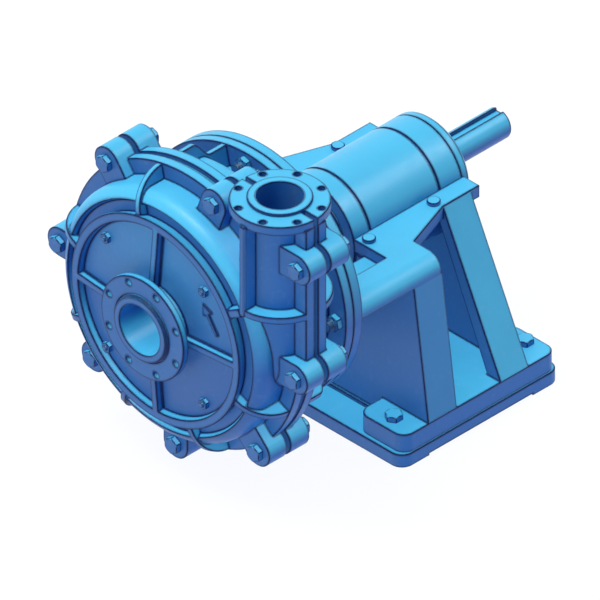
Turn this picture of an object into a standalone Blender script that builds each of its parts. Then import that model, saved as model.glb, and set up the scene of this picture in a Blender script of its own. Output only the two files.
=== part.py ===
"""Horizontal end-suction slurry pump with a split, lined casing, in metres with +Z up.

The shaft runs along +Y. The pieces are laid out from the centre of the suction flange's face,
on the shaft's axis, and hang on an empty that sets the middle of the base's underside at the
world's origin.
"""
import math

import bmesh
import bpy
from mathutils import Matrix, Vector

# Fits
GAP = 0.0003
THROAT_GAP = 0.0015

# Roundness: steps in a full turn
STEPS_LARGE = 36
STEPS_HOUSING = 28
STEPS_MIDDLE = 18
STEPS_HOLE = 8
STEPS_SCREW = 12
STEPS_SMALL = 6
STEPS_ARC = 3
FLAT_ANGLE = 0.0005

# Casing, both halves
SPLIT_Y = 0.1305
SPLIT_SLOT = 0.009
CASING_RADIUS = 0.2495
CASING_WALL = 0.014
CAVITY_ROUND = 0.020
CASING_INNER_WIDTH = 0.137
DISC_WALL = 0.016
PARTING_RADIUS = 0.280
PARTING_THICKNESS = 0.021
LUG_RADIUS = 0.030
LUG_CIRCLE = 0.287
LUG_ANGLES = (71, 126.5, 180, 225, 270, 315)
FRONT_LUG_LENGTH = 0.044
REAR_LUG_LENGTH = 0.047
SIDE_LUG = (0.2966, -0.0018)
NECK_LUG = (0.3028, 0.2354)
NECK_LUG_ROOT_X = 0.244
RIB_ANGLES = (104, 164, 206, 247.5, 292.5, 337.5)
RIB_THICKNESS = 0.012

# Cover plate
RIM_INNER_RADIUS = 0.191
RIM_OUTER_RADIUS = 0.208
RIM_HEIGHT = 0.014
SHOULDER_RADIUS = 0.214
SHOULDER_DEPTH = 0.024
DISC_RIB_WIDTH = 0.0115
DISC_RIB_HEIGHT = 0.012
ARROW_TAIL = (0.137, 0.030)
ARROW_TIP = (0.105, 0.084)
ARROW_WIDTH = 0.007
ARROW_HEAD_WIDTH = 0.026
ARROW_HEAD_LENGTH = 0.020
ARROW_HEIGHT = 0.003

# Suction branch
SUCTION_BORE_RADIUS = 0.050
SUCTION_FLANGE_RADIUS = 0.102
SUCTION_FLANGE_THICKNESS = 0.016
SUCTION_NECK_RADIUS = 0.090
SUCTION_BOLT_CIRCLE = 0.08925
SUCTION_HOLE_RADIUS = 0.007
NOZZLE_RADIUS = 0.066
NOZZLE_RECESS = 0.007

# Discharge branch
DISCHARGE_X = 0.2105
DISCHARGE_BORE_RADIUS = 0.0425
DISCHARGE_FLANGE_RADIUS = 0.090
DISCHARGE_FLANGE_THICKNESS = 0.0187
DISCHARGE_TOP_Z = 0.3197
DISCHARGE_BOLT_CIRCLE = 0.079
DISCHARGE_HOLE_RADIUS = 0.007
DISCHARGE_RING_RADIUS = 0.0587
DISCHARGE_RING_HEIGHT = 0.006
NECK_RADIUS = 0.0677
NECK_WALL = 0.012
NECK_STRIP_WIDTH = 0.181
NECK_RIB_WIDTH = 0.0112
LEDGE_Z = 0.114
LEDGE_THICKNESS = 0.014
LEDGE_RADIUS = 0.098
FLANGE_HOLES = 8

# Wet end
LINER_WALL = 0.018
LINER_FLANGE_SETBACK = 0.006
BUSH_RADIUS = 0.150
BUSH_THICKNESS = 0.018
IMPELLER_RADIUS = 0.165
IMPELLER_RUNNING_GAP = 0.008
SHROUD_THICKNESS = 0.010
EYE_RADIUS = 0.052
VANE_COUNT = 5
VANE_THICKNESS = 0.014
VANE_SWEEP = 95
PUMP_OUT_VANES = 8
PUMP_OUT_HEIGHT = 0.0035
HUB_RADIUS = 0.042
HUB_WALL = 0.012

# Frame plate and stuffing box
REAR_BARREL_RADIUS = 0.205
REAR_BARREL_WALL = 0.015
REAR_BARREL_LENGTH = 0.044
REAR_FLANGE_RADIUS = 0.243
REAR_FLANGE_THICKNESS = 0.020
BOX_RADIUS = 0.070
BOX_BORE_RADIUS = 0.058
BOX_LENGTH = 0.101
BOX_COLLAR_RADIUS = 0.118
BOX_COLLAR_THICKNESS = 0.012
BOX_THROAT_LENGTH = 0.007
PACKING_WIDTH = 0.0157
GLAND_NOSE_LENGTH = 0.042
GLAND_FLANGE_THICKNESS = 0.014
GLAND_FLANGE_RADIUS = 0.062
GLAND_STUD_X = 0.098
GLAND_STUD_RADIUS = 0.008
GLAND_EAR_RADIUS = 0.020
GLAND_TRAVEL = 0.025
SLEEVE_RADIUS = 0.042
SLEEVE_LENGTH = 0.125

# Shaft
SHAFT_RADIUS = 0.030
SHAFT_END_Y = 0.8865
SHAFT_NOSE_RADIUS = 0.025
SHAFT_NOSE_LENGTH = 0.065
JOURNAL_RADIUS = 0.035
SHAFT_BODY_RADIUS = 0.040
SHAFT_CHAMFER = 0.003
KEYWAY_WIDTH = 0.018
KEYWAY_DEPTH = 0.009
KEYWAY_LENGTH = 0.125

# Bearing assembly
HOUSING_RADIUS = 0.0992
HOUSING_START_FROM_SEAT = 0.170
HOUSING_LENGTH = 0.268
HOUSING_BORE_RADIUS = 0.0723
HOUSING_MIDDLE_RADIUS = 0.066
HOUSING_GROOVES = (0.040, 0.212)
GROOVE_WIDTH = 0.003
GROOVE_DEPTH = 0.0025
BEARING_WIDTH = 0.030
CUP_INNER_RADIUS = 0.0585
CONE_OUTER_RADIUS = 0.0455
ROLLER_COUNT = 10
ROLLER_RADIUS = 0.0060
CAGE_HALF_THICKNESS = 0.0015
WET_COVER_LENGTH = 0.016
WET_COVER_PROUD = 0.002
DRIVE_COVER_LENGTH = 0.0222
DRIVE_COVER_CHAMFER = 0.008
DRIVE_SPIGOT_LENGTH = 0.010
COVER_SEAL_RADIUS = 0.0305

# Bearing frame
RING_RADIUS = 0.2475
RING_THICKNESS = 0.042
RING_BORE_RADIUS = 0.178
RING_STUD_CIRCLE = 0.225
PLATFORM_Z = 0.026
PLATFORM_THICKNESS = 0.026
ARM_OUTER_X = 0.2424
ARM_INNER_X = 0.175
ARM_ROUND = 0.030
ARM_BOTTOM_Z = -0.011
LEDGE_INNER_X = 0.122
ARM_LEDGE_TOP_Z = 0.0035
ARM_LEDGE_BOTTOM_Z = -0.022
PLATFORM_WIDE_LENGTH = 0.072
PLATFORM_WAIST_X = 0.136
PLATFORM_LENGTH = 0.273
WALL_WEB = 0.0225
LEG_DEPTH = 0.0715
LEG_WIDTH = 0.026
FRONT_WALL_FROM_SEAT = 0.1735
REAR_WALL_FROM_SEAT = 0.352
REAR_WALL_DEPTH = 0.070
REAR_TOP_X = 0.135
BASE_HALF_WIDTH = 0.279
BASE_TOP_Z = -0.280
BASE_UNDER_Z = -0.3185
BASE_FRONT_FROM_SEAT = 0.159
BASE_POCKET_DEPTH = 0.022
FOOT_INNER_X = 0.164
FOOT_REACH = 0.047
FOOT_BACK_REACH = 0.070
FOOT_ROUND = 0.024
SADDLE_WALL = 0.015
CHIN_THICKNESS = 0.028
WINDOW_ANGLES = (45, 135)

# Sole plate
SOLE_HALF_WIDTH = 0.2812
SOLE_OVERHANG = 0.007
SOLE_THICKNESS = 0.0225
SOLE_ROUND = 0.0257
SOLE_PAD_HEIGHT = 0.0055
SOLE_PAD_LENGTH = 0.068

# Fasteners
M20_RADIUS = 0.010
M20_FLATS = 0.030
M20_HEAD = 0.012
M20_NUT = 0.016
STUD_TAIL = 0.010
FOOT_BOLT_X = 0.224
CLAMP_CAP_RADIUS = 0.0125
CLAMP_CAP_HEIGHT = 0.008
CLAMP_BOLT_X = 0.1184
CLAMP_BOLT_RADIUS = 0.006
CLAMP_BOLT_INSET = (0.016, 0.176)
ADJUST_RADIUS = 0.008
ADJUST_FLATS = 0.024
ADJUST_NUT = 0.013
ADJUST_Z = -0.130
ADJUST_LUG_HALF_WIDTH = 0.018
ADJUST_LUG_THICKNESS = 0.016
ADJUST_BOSS_PROUD = 0.002

# Places that follow from the sizes
FRONT_FACE_Y = SPLIT_Y - SPLIT_SLOT / 2
REAR_FACE_Y = SPLIT_Y + SPLIT_SLOT / 2
COVER_INNER_Y = SPLIT_Y - CASING_INNER_WIDTH / 2
COVER_DISC_Y = COVER_INNER_Y - DISC_WALL
RIM_Y = COVER_DISC_Y - RIM_HEIGHT
PLATE_INNER_Y = SPLIT_Y + CASING_INNER_WIDTH / 2
PLATE_BACK_Y = PLATE_INNER_Y + CASING_WALL
SEAT_Y = PLATE_BACK_Y + REAR_BARREL_LENGTH
CAVITY_RADIUS = CASING_RADIUS - CASING_WALL
LINER_RADIUS = CAVITY_RADIUS - GAP
CHAMBER_RADIUS = LINER_RADIUS - LINER_WALL
CHAMBER_FRONT_Y = COVER_INNER_Y + BUSH_THICKNESS
CHAMBER_BACK_Y = PLATE_INNER_Y - BUSH_THICKNESS
FRONT_LUG_Y = FRONT_FACE_Y - FRONT_LUG_LENGTH
REAR_LUG_Y = REAR_FACE_Y + REAR_LUG_LENGTH
NECK_STRIP_LEFT = DISCHARGE_X - NECK_STRIP_WIDTH / 2
NECK_STRIP_RIGHT = DISCHARGE_X + NECK_STRIP_WIDTH / 2
DISCHARGE_UNDER_Z = DISCHARGE_TOP_Z - DISCHARGE_FLANGE_THICKNESS
IMPELLER_FRONT_Y = CHAMBER_FRONT_Y + IMPELLER_RUNNING_GAP
IMPELLER_BACK_Y = CHAMBER_BACK_Y - IMPELLER_RUNNING_GAP
SLEEVE_START_Y = PLATE_INNER_Y + BOX_THROAT_LENGTH
BOX_START_Y = PLATE_INNER_Y + GAP
BOX_END_Y = BOX_START_Y + BOX_LENGTH
PACKING_START_Y = BOX_START_Y + BOX_THROAT_LENGTH + GAP
GLAND_START_Y = PACKING_START_Y + 4 * (PACKING_WIDTH + GAP)
GLAND_FLANGE_Y = GLAND_START_Y + GLAND_NOSE_LENGTH
GLAND_BACK_Y = GLAND_FLANGE_Y + GLAND_FLANGE_THICKNESS
RING_BACK_Y = SEAT_Y + RING_THICKNESS
HOUSING_START_Y = SEAT_Y + HOUSING_START_FROM_SEAT
HOUSING_END_Y = HOUSING_START_Y + HOUSING_LENGTH
WET_CUP_Y = HOUSING_START_Y + WET_COVER_LENGTH - WET_COVER_PROUD + GAP
DRIVE_CUP_Y = HOUSING_END_Y - DRIVE_SPIGOT_LENGTH - GAP - BEARING_WIDTH
DRIVE_COVER_Y = HOUSING_END_Y + GAP
DRIVE_COVER_END_Y = DRIVE_COVER_Y + DRIVE_COVER_LENGTH
PLATFORM_START_Y = HOUSING_START_Y
PLATFORM_END_Y = PLATFORM_START_Y + PLATFORM_LENGTH
FRONT_WALL_Y = SEAT_Y + FRONT_WALL_FROM_SEAT
REAR_WALL_Y = SEAT_Y + REAR_WALL_FROM_SEAT
REAR_WALL_BACK_Y = REAR_WALL_Y + REAR_WALL_DEPTH
BASE_FRONT_Y = SEAT_Y + BASE_FRONT_FROM_SEAT
BASE_BACK_Y = REAR_WALL_BACK_Y + 0.001
FOOT_FRONT_Y = BASE_FRONT_Y - FOOT_REACH
FOOT_BACK_Y = REAR_WALL_BACK_Y + FOOT_BACK_REACH
FOOT_BOLTS_Y = (FOOT_FRONT_Y + 0.030, FOOT_BACK_Y - 0.026)
SOLE_TOP_Z = BASE_UNDER_Z - GAP
SOLE_UNDER_Z = SOLE_TOP_Z - SOLE_THICKNESS
GROUND_Z = SOLE_UNDER_Z - SOLE_PAD_HEIGHT
ADJUST_BOSS_Y = REAR_WALL_BACK_Y + ADJUST_BOSS_PROUD
ADJUST_LUG_Y = DRIVE_COVER_Y + 0.003
ADJUST_LUG_BACK_Y = ADJUST_LUG_Y + ADJUST_LUG_THICKNESS
LEFT_X = -(LUG_CIRCLE + LUG_RADIUS)
RIGHT_X = NECK_LUG[0] + LUG_RADIUS


def clear_scene():
    for old in list(bpy.data.objects):
        bpy.data.objects.remove(old, do_unlink=True)


def paint(name, colour, roughness, metallic):
    """A plain material of one colour."""
    material = bpy.data.materials.new(name)
    material.use_nodes = True
    shader = material.node_tree.nodes["Principled BSDF"]
    shader.inputs["Base Color"].default_value = (*colour, 1.0)
    shader.inputs["Roughness"].default_value = roughness
    shader.inputs["Metallic"].default_value = metallic
    material.diffuse_color = (*colour, 1.0)
    return material


def turned_place(angle, radius):
    """The X and Z of a point at an angle in degrees round the shaft, counted from +X."""
    turn = math.radians(angle)
    return radius * math.cos(turn), radius * math.sin(turn)


def arc(centre, radius, start, end, steps):
    """Points on an arc, both ends included, angles in degrees."""
    points = []
    for step in range(steps + 1):
        turn = math.radians(start + (end - start) * step / steps)
        x = centre[0] + radius[0] * math.cos(turn)
        y = centre[1] + radius[1] * math.sin(turn)
        points.append((x, y))
    return points


def circle(centre, radius, steps):
    half_step = 180 / steps
    return arc(centre, (radius, radius), half_step, 360 + half_step, steps)[:-1]


def rectangle(left, low, right, high):
    return [(left, low), (right, low), (right, high), (left, high)]


def rounded_rectangle(left, low, right, high, radius, steps=STEPS_ARC):
    both = (radius, radius)
    points = arc((right - radius, high - radius), both, 0, 90, steps)
    points += arc((left + radius, high - radius), both, 90, 180, steps)
    points += arc((left + radius, low + radius), both, 180, 270, steps)
    points += arc((right - radius, low + radius), both, 270, 360, steps)
    return points


def tongue(tip, radius, angle, length, steps=STEPS_SMALL):
    """A round end at tip with straight sides that run back along an angle."""
    points = arc(tip, (radius, radius), angle - 90, angle + 90, steps)
    turn = math.radians(angle)
    back = Vector((-math.cos(turn), -math.sin(turn))) * length
    points.append((points[-1][0] + back.x, points[-1][1] + back.y))
    points.append((points[0][0] + back.x, points[0][1] + back.y))
    return points


def hexagon(centre, flats):
    radius = flats / math.sqrt(3)
    return arc(centre, (radius, radius), 30, 330, 5)


def shape_from(bm):
    bmesh.ops.recalc_face_normals(bm, faces=bm.faces)
    mesh = bpy.data.meshes.new("shape")
    bm.to_mesh(mesh)
    bm.free()
    shape = bpy.data.objects.new("shape", mesh)
    bpy.context.scene.collection.objects.link(shape)
    return shape


def turned(profile, steps, place=(0.0, 0.0), axis="Y"):
    """Turns a closed profile of (distance along the axis, radius) about an axis.

    place is the axis' X and Z for a turn about Y, and its X and Y for a turn about Z.
    """
    bm = bmesh.new()
    rings = []
    for along, radius in profile:
        count = 1 if radius < 1e-9 else steps
        ring = []
        for step in range(count):
            turn = math.tau * step / steps
            side, up = radius * math.cos(turn), radius * math.sin(turn)
            if axis == "Y":
                point = (place[0] + side, along, place[1] + up)
            else:
                point = (place[0] + side, place[1] + up, along)
            ring.append(bm.verts.new(point))
        rings.append(ring)
    pairs = list(zip(rings, rings[1:] + rings[:1]))
    for first, second in pairs:
        if len(first) == 1 and len(second) == 1:
            continue
        level = abs(first[0].co[1 if axis == "Y" else 2] - second[0].co[1 if axis == "Y" else 2])
        if level < 1e-9 and 1 in (len(first), len(second)):
            bm.faces.new(max(first, second, key=len))
            continue
        for step in range(steps):
            after = (step + 1) % steps
            corners = [first[step % len(first)], first[after % len(first)]]
            corners += [second[after % len(second)], second[step % len(second)]]
            corners = list(dict.fromkeys(corners))
            bm.faces.new(corners)
    loose = [vert for vert in bm.verts if not vert.link_faces]
    bmesh.ops.delete(bm, geom=loose, context="VERTS")
    return shape_from(bm)


def prism(outline, start, end, axis="Y"):
    """Extrudes a flat outline along an axis, from start to end."""
    spots = {
        "X": lambda a, b, along: (along, a, b),
        "Y": lambda a, b, along: (a, along, b),
        "Z": lambda a, b, along: (a, b, along),
    }[axis]
    bm = bmesh.new()
    low = [bm.verts.new(spots(a, b, start)) for a, b in outline]
    high = [bm.verts.new(spots(a, b, end)) for a, b in outline]
    bm.faces.new(low)
    bm.faces.new(high)
    for index in range(len(outline)):
        after = (index + 1) % len(outline)
        bm.faces.new([low[index], low[after], high[after], high[index]])
    return shape_from(bm)


def rod(radius, start, end, place=(0.0, 0.0), axis="Y", steps=STEPS_SMALL):
    return prism(circle(place, radius, steps), start, end, axis)


def drum(radius, start, end, steps):
    """A cylinder on the shaft's axis, with its facets in line with the turned pieces."""
    return turned([(start, 0.0), (start, radius), (end, radius), (end, 0.0)], steps)


def running_bore(radius, steps=STEPS_MIDDLE):
    """The radius of a bore that a faceted round piece clears at every turn."""
    return radius / math.cos(math.pi / steps) + GAP


def block(left, right, front, back, low, high):
    return prism(rectangle(left, front, right, back), low, high, "Z")


def ring_shape(inner, outer, start, end, steps=STEPS_MIDDLE):
    return turned([(start, inner), (start, outer), (end, outer), (end, inner)], steps)


def combine(body, tools, operation):
    """Applies one Boolean for each tool, and removes the tools."""
    for tool in tools:
        step = body.modifiers.new(operation.title(), "BOOLEAN")
        step.operation = operation
        step.object = tool
        step.solver = "EXACT"
    graph = bpy.context.evaluated_depsgraph_get()
    mesh = bpy.data.meshes.new_from_object(body.evaluated_get(graph))
    body.modifiers.clear()
    body.data = mesh
    for tool in tools:
        bpy.data.objects.remove(tool, do_unlink=True)
    return body


def fuse(body, *tools):
    return combine(body, tools, "UNION")


def carve(body, *tools):
    return combine(body, tools, "DIFFERENCE")


def keep_within(body, *tools):
    return combine(body, tools, "INTERSECT")


def spin_about_shaft(body, angle):
    body.data.transform(Matrix.Rotation(-math.radians(angle), 4, "Y"))
    return body


def settle(body, name, material, anchor, origin=(0.0, 0.0, 0.0)):
    """Names a finished piece, sets its origin and hangs it on the anchor."""
    bm = bmesh.new()
    bm.from_mesh(body.data)
    bmesh.ops.remove_doubles(bm, verts=bm.verts, dist=2e-6)
    bmesh.ops.dissolve_degenerate(bm, edges=bm.edges, dist=2e-6)
    bmesh.ops.dissolve_limit(bm, angle_limit=FLAT_ANGLE, verts=bm.verts, edges=bm.edges)
    bmesh.ops.triangulate(bm, faces=bm.faces)
    bm.to_mesh(body.data)
    bm.free()
    body.data.transform(Matrix.Translation(-Vector(origin)))
    body.location = origin
    body.name = name
    body.data.name = name
    body.data.materials.clear()
    body.data.materials.append(material)
    body.data.shade_smooth()
    body.data.set_sharp_from_angle(angle=math.radians(35))
    body.parent = anchor
    return body


def branch_shape(radius, top, collar=None):
    """The discharge branch as a solid: a dome below the shaft's level, and a pipe up to top.

    collar is the radius and the underside of a wider disc at the top.
    """
    profile = [(-radius * math.cos(math.radians(turn)), radius * math.sin(math.radians(turn)))
               for turn in (0, 35, 68)]
    profile += [(0.0, radius)]
    if collar:
        profile += [(collar[1], radius), (collar[1], collar[0]), (top, collar[0])]
    else:
        profile += [(top, radius)]
    profile += [(top, 0.0)]
    return turned(profile, STEPS_HOUSING, (DISCHARGE_X, SPLIT_Y), "Z")


def parting_plate(start, end, margin):
    """The flat flange at the casing's joint, with the strip that runs up beside the neck."""
    round_part = rod(PARTING_RADIUS - margin, start, end, steps=STEPS_LARGE)
    strip = block(
        NECK_STRIP_LEFT + margin,
        NECK_STRIP_RIGHT - margin,
        start,
        end,
        0.0,
        DISCHARGE_UNDER_Z + (0.004 if margin == 0 else -GAP),
    )
    return fuse(round_part, strip)


def lug_outlines():
    """The outline of each bolt lug, in X and Z, with its bolt's place."""
    outlines = []
    for angle in LUG_ANGLES:
        place = turned_place(angle, LUG_CIRCLE)
        length = LUG_CIRCLE - CAVITY_RADIUS - 0.006
        outlines.append((place, tongue(place, LUG_RADIUS, angle, length)))
    side_length = SIDE_LUG[0] - CAVITY_RADIUS - 0.006
    outlines.append((SIDE_LUG, tongue(SIDE_LUG, LUG_RADIUS, 0, side_length)))
    neck_length = NECK_LUG[0] - NECK_LUG_ROOT_X
    outlines.append((NECK_LUG, tongue(NECK_LUG, LUG_RADIUS, 0, neck_length)))
    return outlines


def flange_holes(centre, circle_radius, hole_radius, start, end, axis):
    holes = []
    for index in range(FLANGE_HOLES):
        turn = math.tau * (index + 0.5) / FLANGE_HOLES
        spot = (
            centre[0] + circle_radius * math.cos(turn),
            centre[1] + circle_radius * math.sin(turn),
        )
        holes.append(rod(hole_radius, start, end, spot, axis, STEPS_HOLE))
    return holes


def casing_cavity():
    """The space inside both casing halves, where the liners go."""
    round_edge = CAVITY_ROUND
    profile = [(COVER_INNER_Y, 0.0)]
    profile += [(a, b) for a, b in arc(
        (COVER_INNER_Y + round_edge, CAVITY_RADIUS - round_edge),
        (-round_edge, round_edge), 0, 90, STEPS_ARC)]
    profile += [(a, b) for a, b in arc(
        (PLATE_INNER_Y - round_edge, CAVITY_RADIUS - round_edge),
        (round_edge, round_edge), 90, 0, STEPS_ARC)]
    profile += [(PLATE_INNER_Y, 0.0)]
    cavity = turned(profile, STEPS_LARGE)
    return fuse(cavity, branch_shape(NECK_RADIUS - NECK_WALL, DISCHARGE_TOP_Z + 0.02))


def casing_branch(side):
    """The discharge neck and flange on the cover's side (-1) or the frame's (+1) of the joint."""
    branch = branch_shape(NECK_RADIUS, DISCHARGE_TOP_Z,
                          (DISCHARGE_FLANGE_RADIUS, DISCHARGE_UNDER_Z))
    joint = SPLIT_Y + side * SPLIT_SLOT / 2
    far = joint - side * 2 * DISCHARGE_FLANGE_RADIUS
    half = block(DISCHARGE_X - 2 * DISCHARGE_FLANGE_RADIUS,
                 DISCHARGE_X + 2 * DISCHARGE_FLANGE_RADIUS,
                 min(joint, far), max(joint, far), -0.2, DISCHARGE_TOP_Z + 0.1)
    return carve(branch, half)


def edge_ribs(depth, foot_y, tip_y):
    """The curved ribs between the body and the parting flange."""
    ribs = []
    for angle in RIB_ANGLES:
        centre = (tip_y, RIM_OUTER_RADIUS)
        bow = arc(centre, (foot_y - tip_y, PARTING_RADIUS - RIM_OUTER_RADIUS - depth), 0, 90, STEPS_ARC + 1)
        outline = bow + [(tip_y, RIM_OUTER_RADIUS - 0.010), (foot_y, RIM_OUTER_RADIUS - 0.010)]
        rib = prism(outline, -RIB_THICKNESS / 2, RIB_THICKNESS / 2, "X")
        ribs.append(spin_about_shaft(rib, angle - 90))
    return ribs


def cover_body():
    """The outside of the cover plate as one turned solid."""
    shoulder_end_y = COVER_DISC_Y + SHOULDER_DEPTH
    bore = NOZZLE_RADIUS + GAP
    profile = [
        (0.0, bore),
        (0.0, SUCTION_FLANGE_RADIUS),
        (SUCTION_FLANGE_THICKNESS, SUCTION_FLANGE_RADIUS),
        (SUCTION_FLANGE_THICKNESS, SUCTION_NECK_RADIUS),
        (COVER_DISC_Y - 0.004, SUCTION_NECK_RADIUS),
        (COVER_DISC_Y, SUCTION_NECK_RADIUS + 0.004),
        (COVER_DISC_Y, RIM_INNER_RADIUS - 0.002),
        (RIM_Y, RIM_INNER_RADIUS),
        (RIM_Y, RIM_OUTER_RADIUS - 0.002),
        (RIM_Y + 0.002, RIM_OUTER_RADIUS),
        (COVER_DISC_Y, RIM_OUTER_RADIUS),
        (COVER_DISC_Y - 0.005, SHOULDER_RADIUS),
    ]
    profile += arc(
        (shoulder_end_y, SHOULDER_RADIUS),
        (COVER_DISC_Y - 0.005 - shoulder_end_y, CASING_RADIUS - SHOULDER_RADIUS),
        12,
        90,
        STEPS_ARC + 1,
    )
    profile += [(FRONT_FACE_Y, CASING_RADIUS), (FRONT_FACE_Y, CAVITY_RADIUS - 0.040),
                (COVER_INNER_Y + 0.010, CAVITY_RADIUS - 0.060), (COVER_INNER_Y + 0.010, bore)]
    return turned(profile, STEPS_LARGE)


def disc_ribs():
    """The four straight ribs that cross the cover's disc."""
    ribs = []
    for angle in (0, 90, 180, 270):
        rib = block(
            SUCTION_NECK_RADIUS - 0.006,
            RIM_INNER_RADIUS + 0.005,
            COVER_DISC_Y - DISC_RIB_HEIGHT,
            COVER_DISC_Y + 0.004,
            -DISC_RIB_WIDTH / 2,
            DISC_RIB_WIDTH / 2,
        )
        ribs.append(spin_about_shaft(rib, angle))
    return ribs


def rotation_arrow():
    """A raised plain arrow that shows which way the shaft turns."""
    tail, tip = Vector(ARROW_TAIL), Vector(ARROW_TIP)
    ahead = (tip - tail).normalized()
    across = Vector((-ahead.y, ahead.x))
    neck = tip - ahead * ARROW_HEAD_LENGTH
    points = [tail - across * ARROW_WIDTH / 2, neck - across * ARROW_WIDTH / 2]
    points += [neck - across * ARROW_HEAD_WIDTH / 2, tip, neck + across * ARROW_HEAD_WIDTH / 2]
    points += [neck + across * ARROW_WIDTH / 2, tail + across * ARROW_WIDTH / 2]
    outline = [(point.x, point.y) for point in points]
    return prism(outline, COVER_DISC_Y - ARROW_HEIGHT, COVER_DISC_Y + 0.004)


def neck_stiffeners():
    """The cover's upright rib on the neck, and the ledge under it."""
    upright = block(
        DISCHARGE_X - NECK_RIB_WIDTH / 2,
        DISCHARGE_X + NECK_RIB_WIDTH / 2,
        RIM_Y + 0.001,
        SPLIT_Y - NECK_RADIUS + 0.012,
        LEDGE_Z,
        DISCHARGE_UNDER_Z + 0.004,
    )
    centre = (DISCHARGE_X, SPLIT_Y)
    start = -90
    end = -math.degrees(math.acos((NECK_STRIP_RIGHT - 0.020 - DISCHARGE_X) / LEDGE_RADIUS))
    sector = arc(centre, (LEDGE_RADIUS, LEDGE_RADIUS), start, end, STEPS_ARC)
    sector += [(sector[-1][0], FRONT_FACE_Y - 0.010), (DISCHARGE_X, FRONT_FACE_Y - 0.010)]
    ledge = prism(sector, LEDGE_Z, LEDGE_Z + LEDGE_THICKNESS, "Z")
    bar = block(
        0.156,
        DISCHARGE_X,
        RIM_Y + 0.002,
        COVER_DISC_Y + 0.006,
        LEDGE_Z,
        LEDGE_Z + LEDGE_THICKNESS,
    )
    return [upright, ledge, bar]


def make_cover_plate(anchor, material):
    body = cover_body()
    parts = [parting_plate(FRONT_FACE_Y - PARTING_THICKNESS, FRONT_FACE_Y, 0.0)]
    parts += [casing_branch(-1)]
    parts += [prism(outline, FRONT_LUG_Y, FRONT_FACE_Y) for _, outline in lug_outlines()]
    parts += edge_ribs(0.002, RIM_Y + 0.004, FRONT_FACE_Y - PARTING_THICKNESS + 0.004)
    parts += disc_ribs() + neck_stiffeners() + [rotation_arrow()]
    fuse(body, *parts)
    cuts = [casing_cavity()]
    cuts += flange_holes(
        (0.0, 0.0), SUCTION_BOLT_CIRCLE, SUCTION_HOLE_RADIUS, -0.01,
        SUCTION_FLANGE_THICKNESS + 0.002, "Y")
    cuts += flange_holes(
        (DISCHARGE_X, SPLIT_Y), DISCHARGE_BOLT_CIRCLE, DISCHARGE_HOLE_RADIUS,
        DISCHARGE_UNDER_Z - 0.002, DISCHARGE_TOP_Z + 0.01, "Z")
    cuts += [rod(M20_RADIUS + 2 * GAP, FRONT_LUG_Y - 0.01, FRONT_FACE_Y + 0.01, place)
             for place, _ in lug_outlines()]
    carve(body, *cuts)
    return settle(body, "cover_plate", material, anchor)


def make_frame_plate(anchor, material):
    shoulder = 0.020
    profile = [(REAR_FACE_Y, 0.0), (REAR_FACE_Y, CASING_RADIUS)]
    profile += arc((PLATE_BACK_Y - shoulder, CASING_RADIUS - shoulder),
                   (shoulder, shoulder), 90, 0, STEPS_ARC)
    profile += [
        (PLATE_BACK_Y, REAR_BARREL_RADIUS),
        (SEAT_Y - REAR_FLANGE_THICKNESS, REAR_BARREL_RADIUS),
        (SEAT_Y - REAR_FLANGE_THICKNESS, REAR_FLANGE_RADIUS),
        (SEAT_Y - GAP, REAR_FLANGE_RADIUS),
        (SEAT_Y - GAP, 0.0),
    ]
    body = turned(profile, STEPS_LARGE)
    parts = [parting_plate(REAR_FACE_Y, REAR_FACE_Y + PARTING_THICKNESS, 0.0)]
    parts += [casing_branch(1)]
    parts += [prism(outline, REAR_FACE_Y, REAR_LUG_Y) for _, outline in lug_outlines()]
    parts += edge_ribs(0.002, PLATE_BACK_Y - 0.004, REAR_FACE_Y + PARTING_THICKNESS - 0.004)
    fuse(body, *parts)
    inner = REAR_BARREL_RADIUS - REAR_BARREL_WALL
    cuts = [casing_cavity()]
    cuts += [drum(inner, PLATE_BACK_Y, SEAT_Y + 0.01, STEPS_LARGE)]
    cuts += [drum(BOX_RADIUS + GAP, PLATE_INNER_Y - 0.01, SEAT_Y, STEPS_MIDDLE)]
    cuts += flange_holes(
        (DISCHARGE_X, SPLIT_Y), DISCHARGE_BOLT_CIRCLE, DISCHARGE_HOLE_RADIUS,
        DISCHARGE_UNDER_Z - 0.002, DISCHARGE_TOP_Z + 0.01, "Z")
    cuts += [rod(M20_RADIUS + 2 * GAP, REAR_FACE_Y - 0.01, REAR_LUG_Y + 0.01, place)
             for place, _ in lug_outlines()]
    for angle in (0, 90, 180, 270):
        spot = turned_place(angle, RING_STUD_CIRCLE)
        cuts.append(rod(M20_RADIUS + GAP, SEAT_Y - 0.03, SEAT_Y + 0.01, spot))
    carve(body, *cuts)
    return settle(body, "frame_plate", material, anchor)


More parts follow.
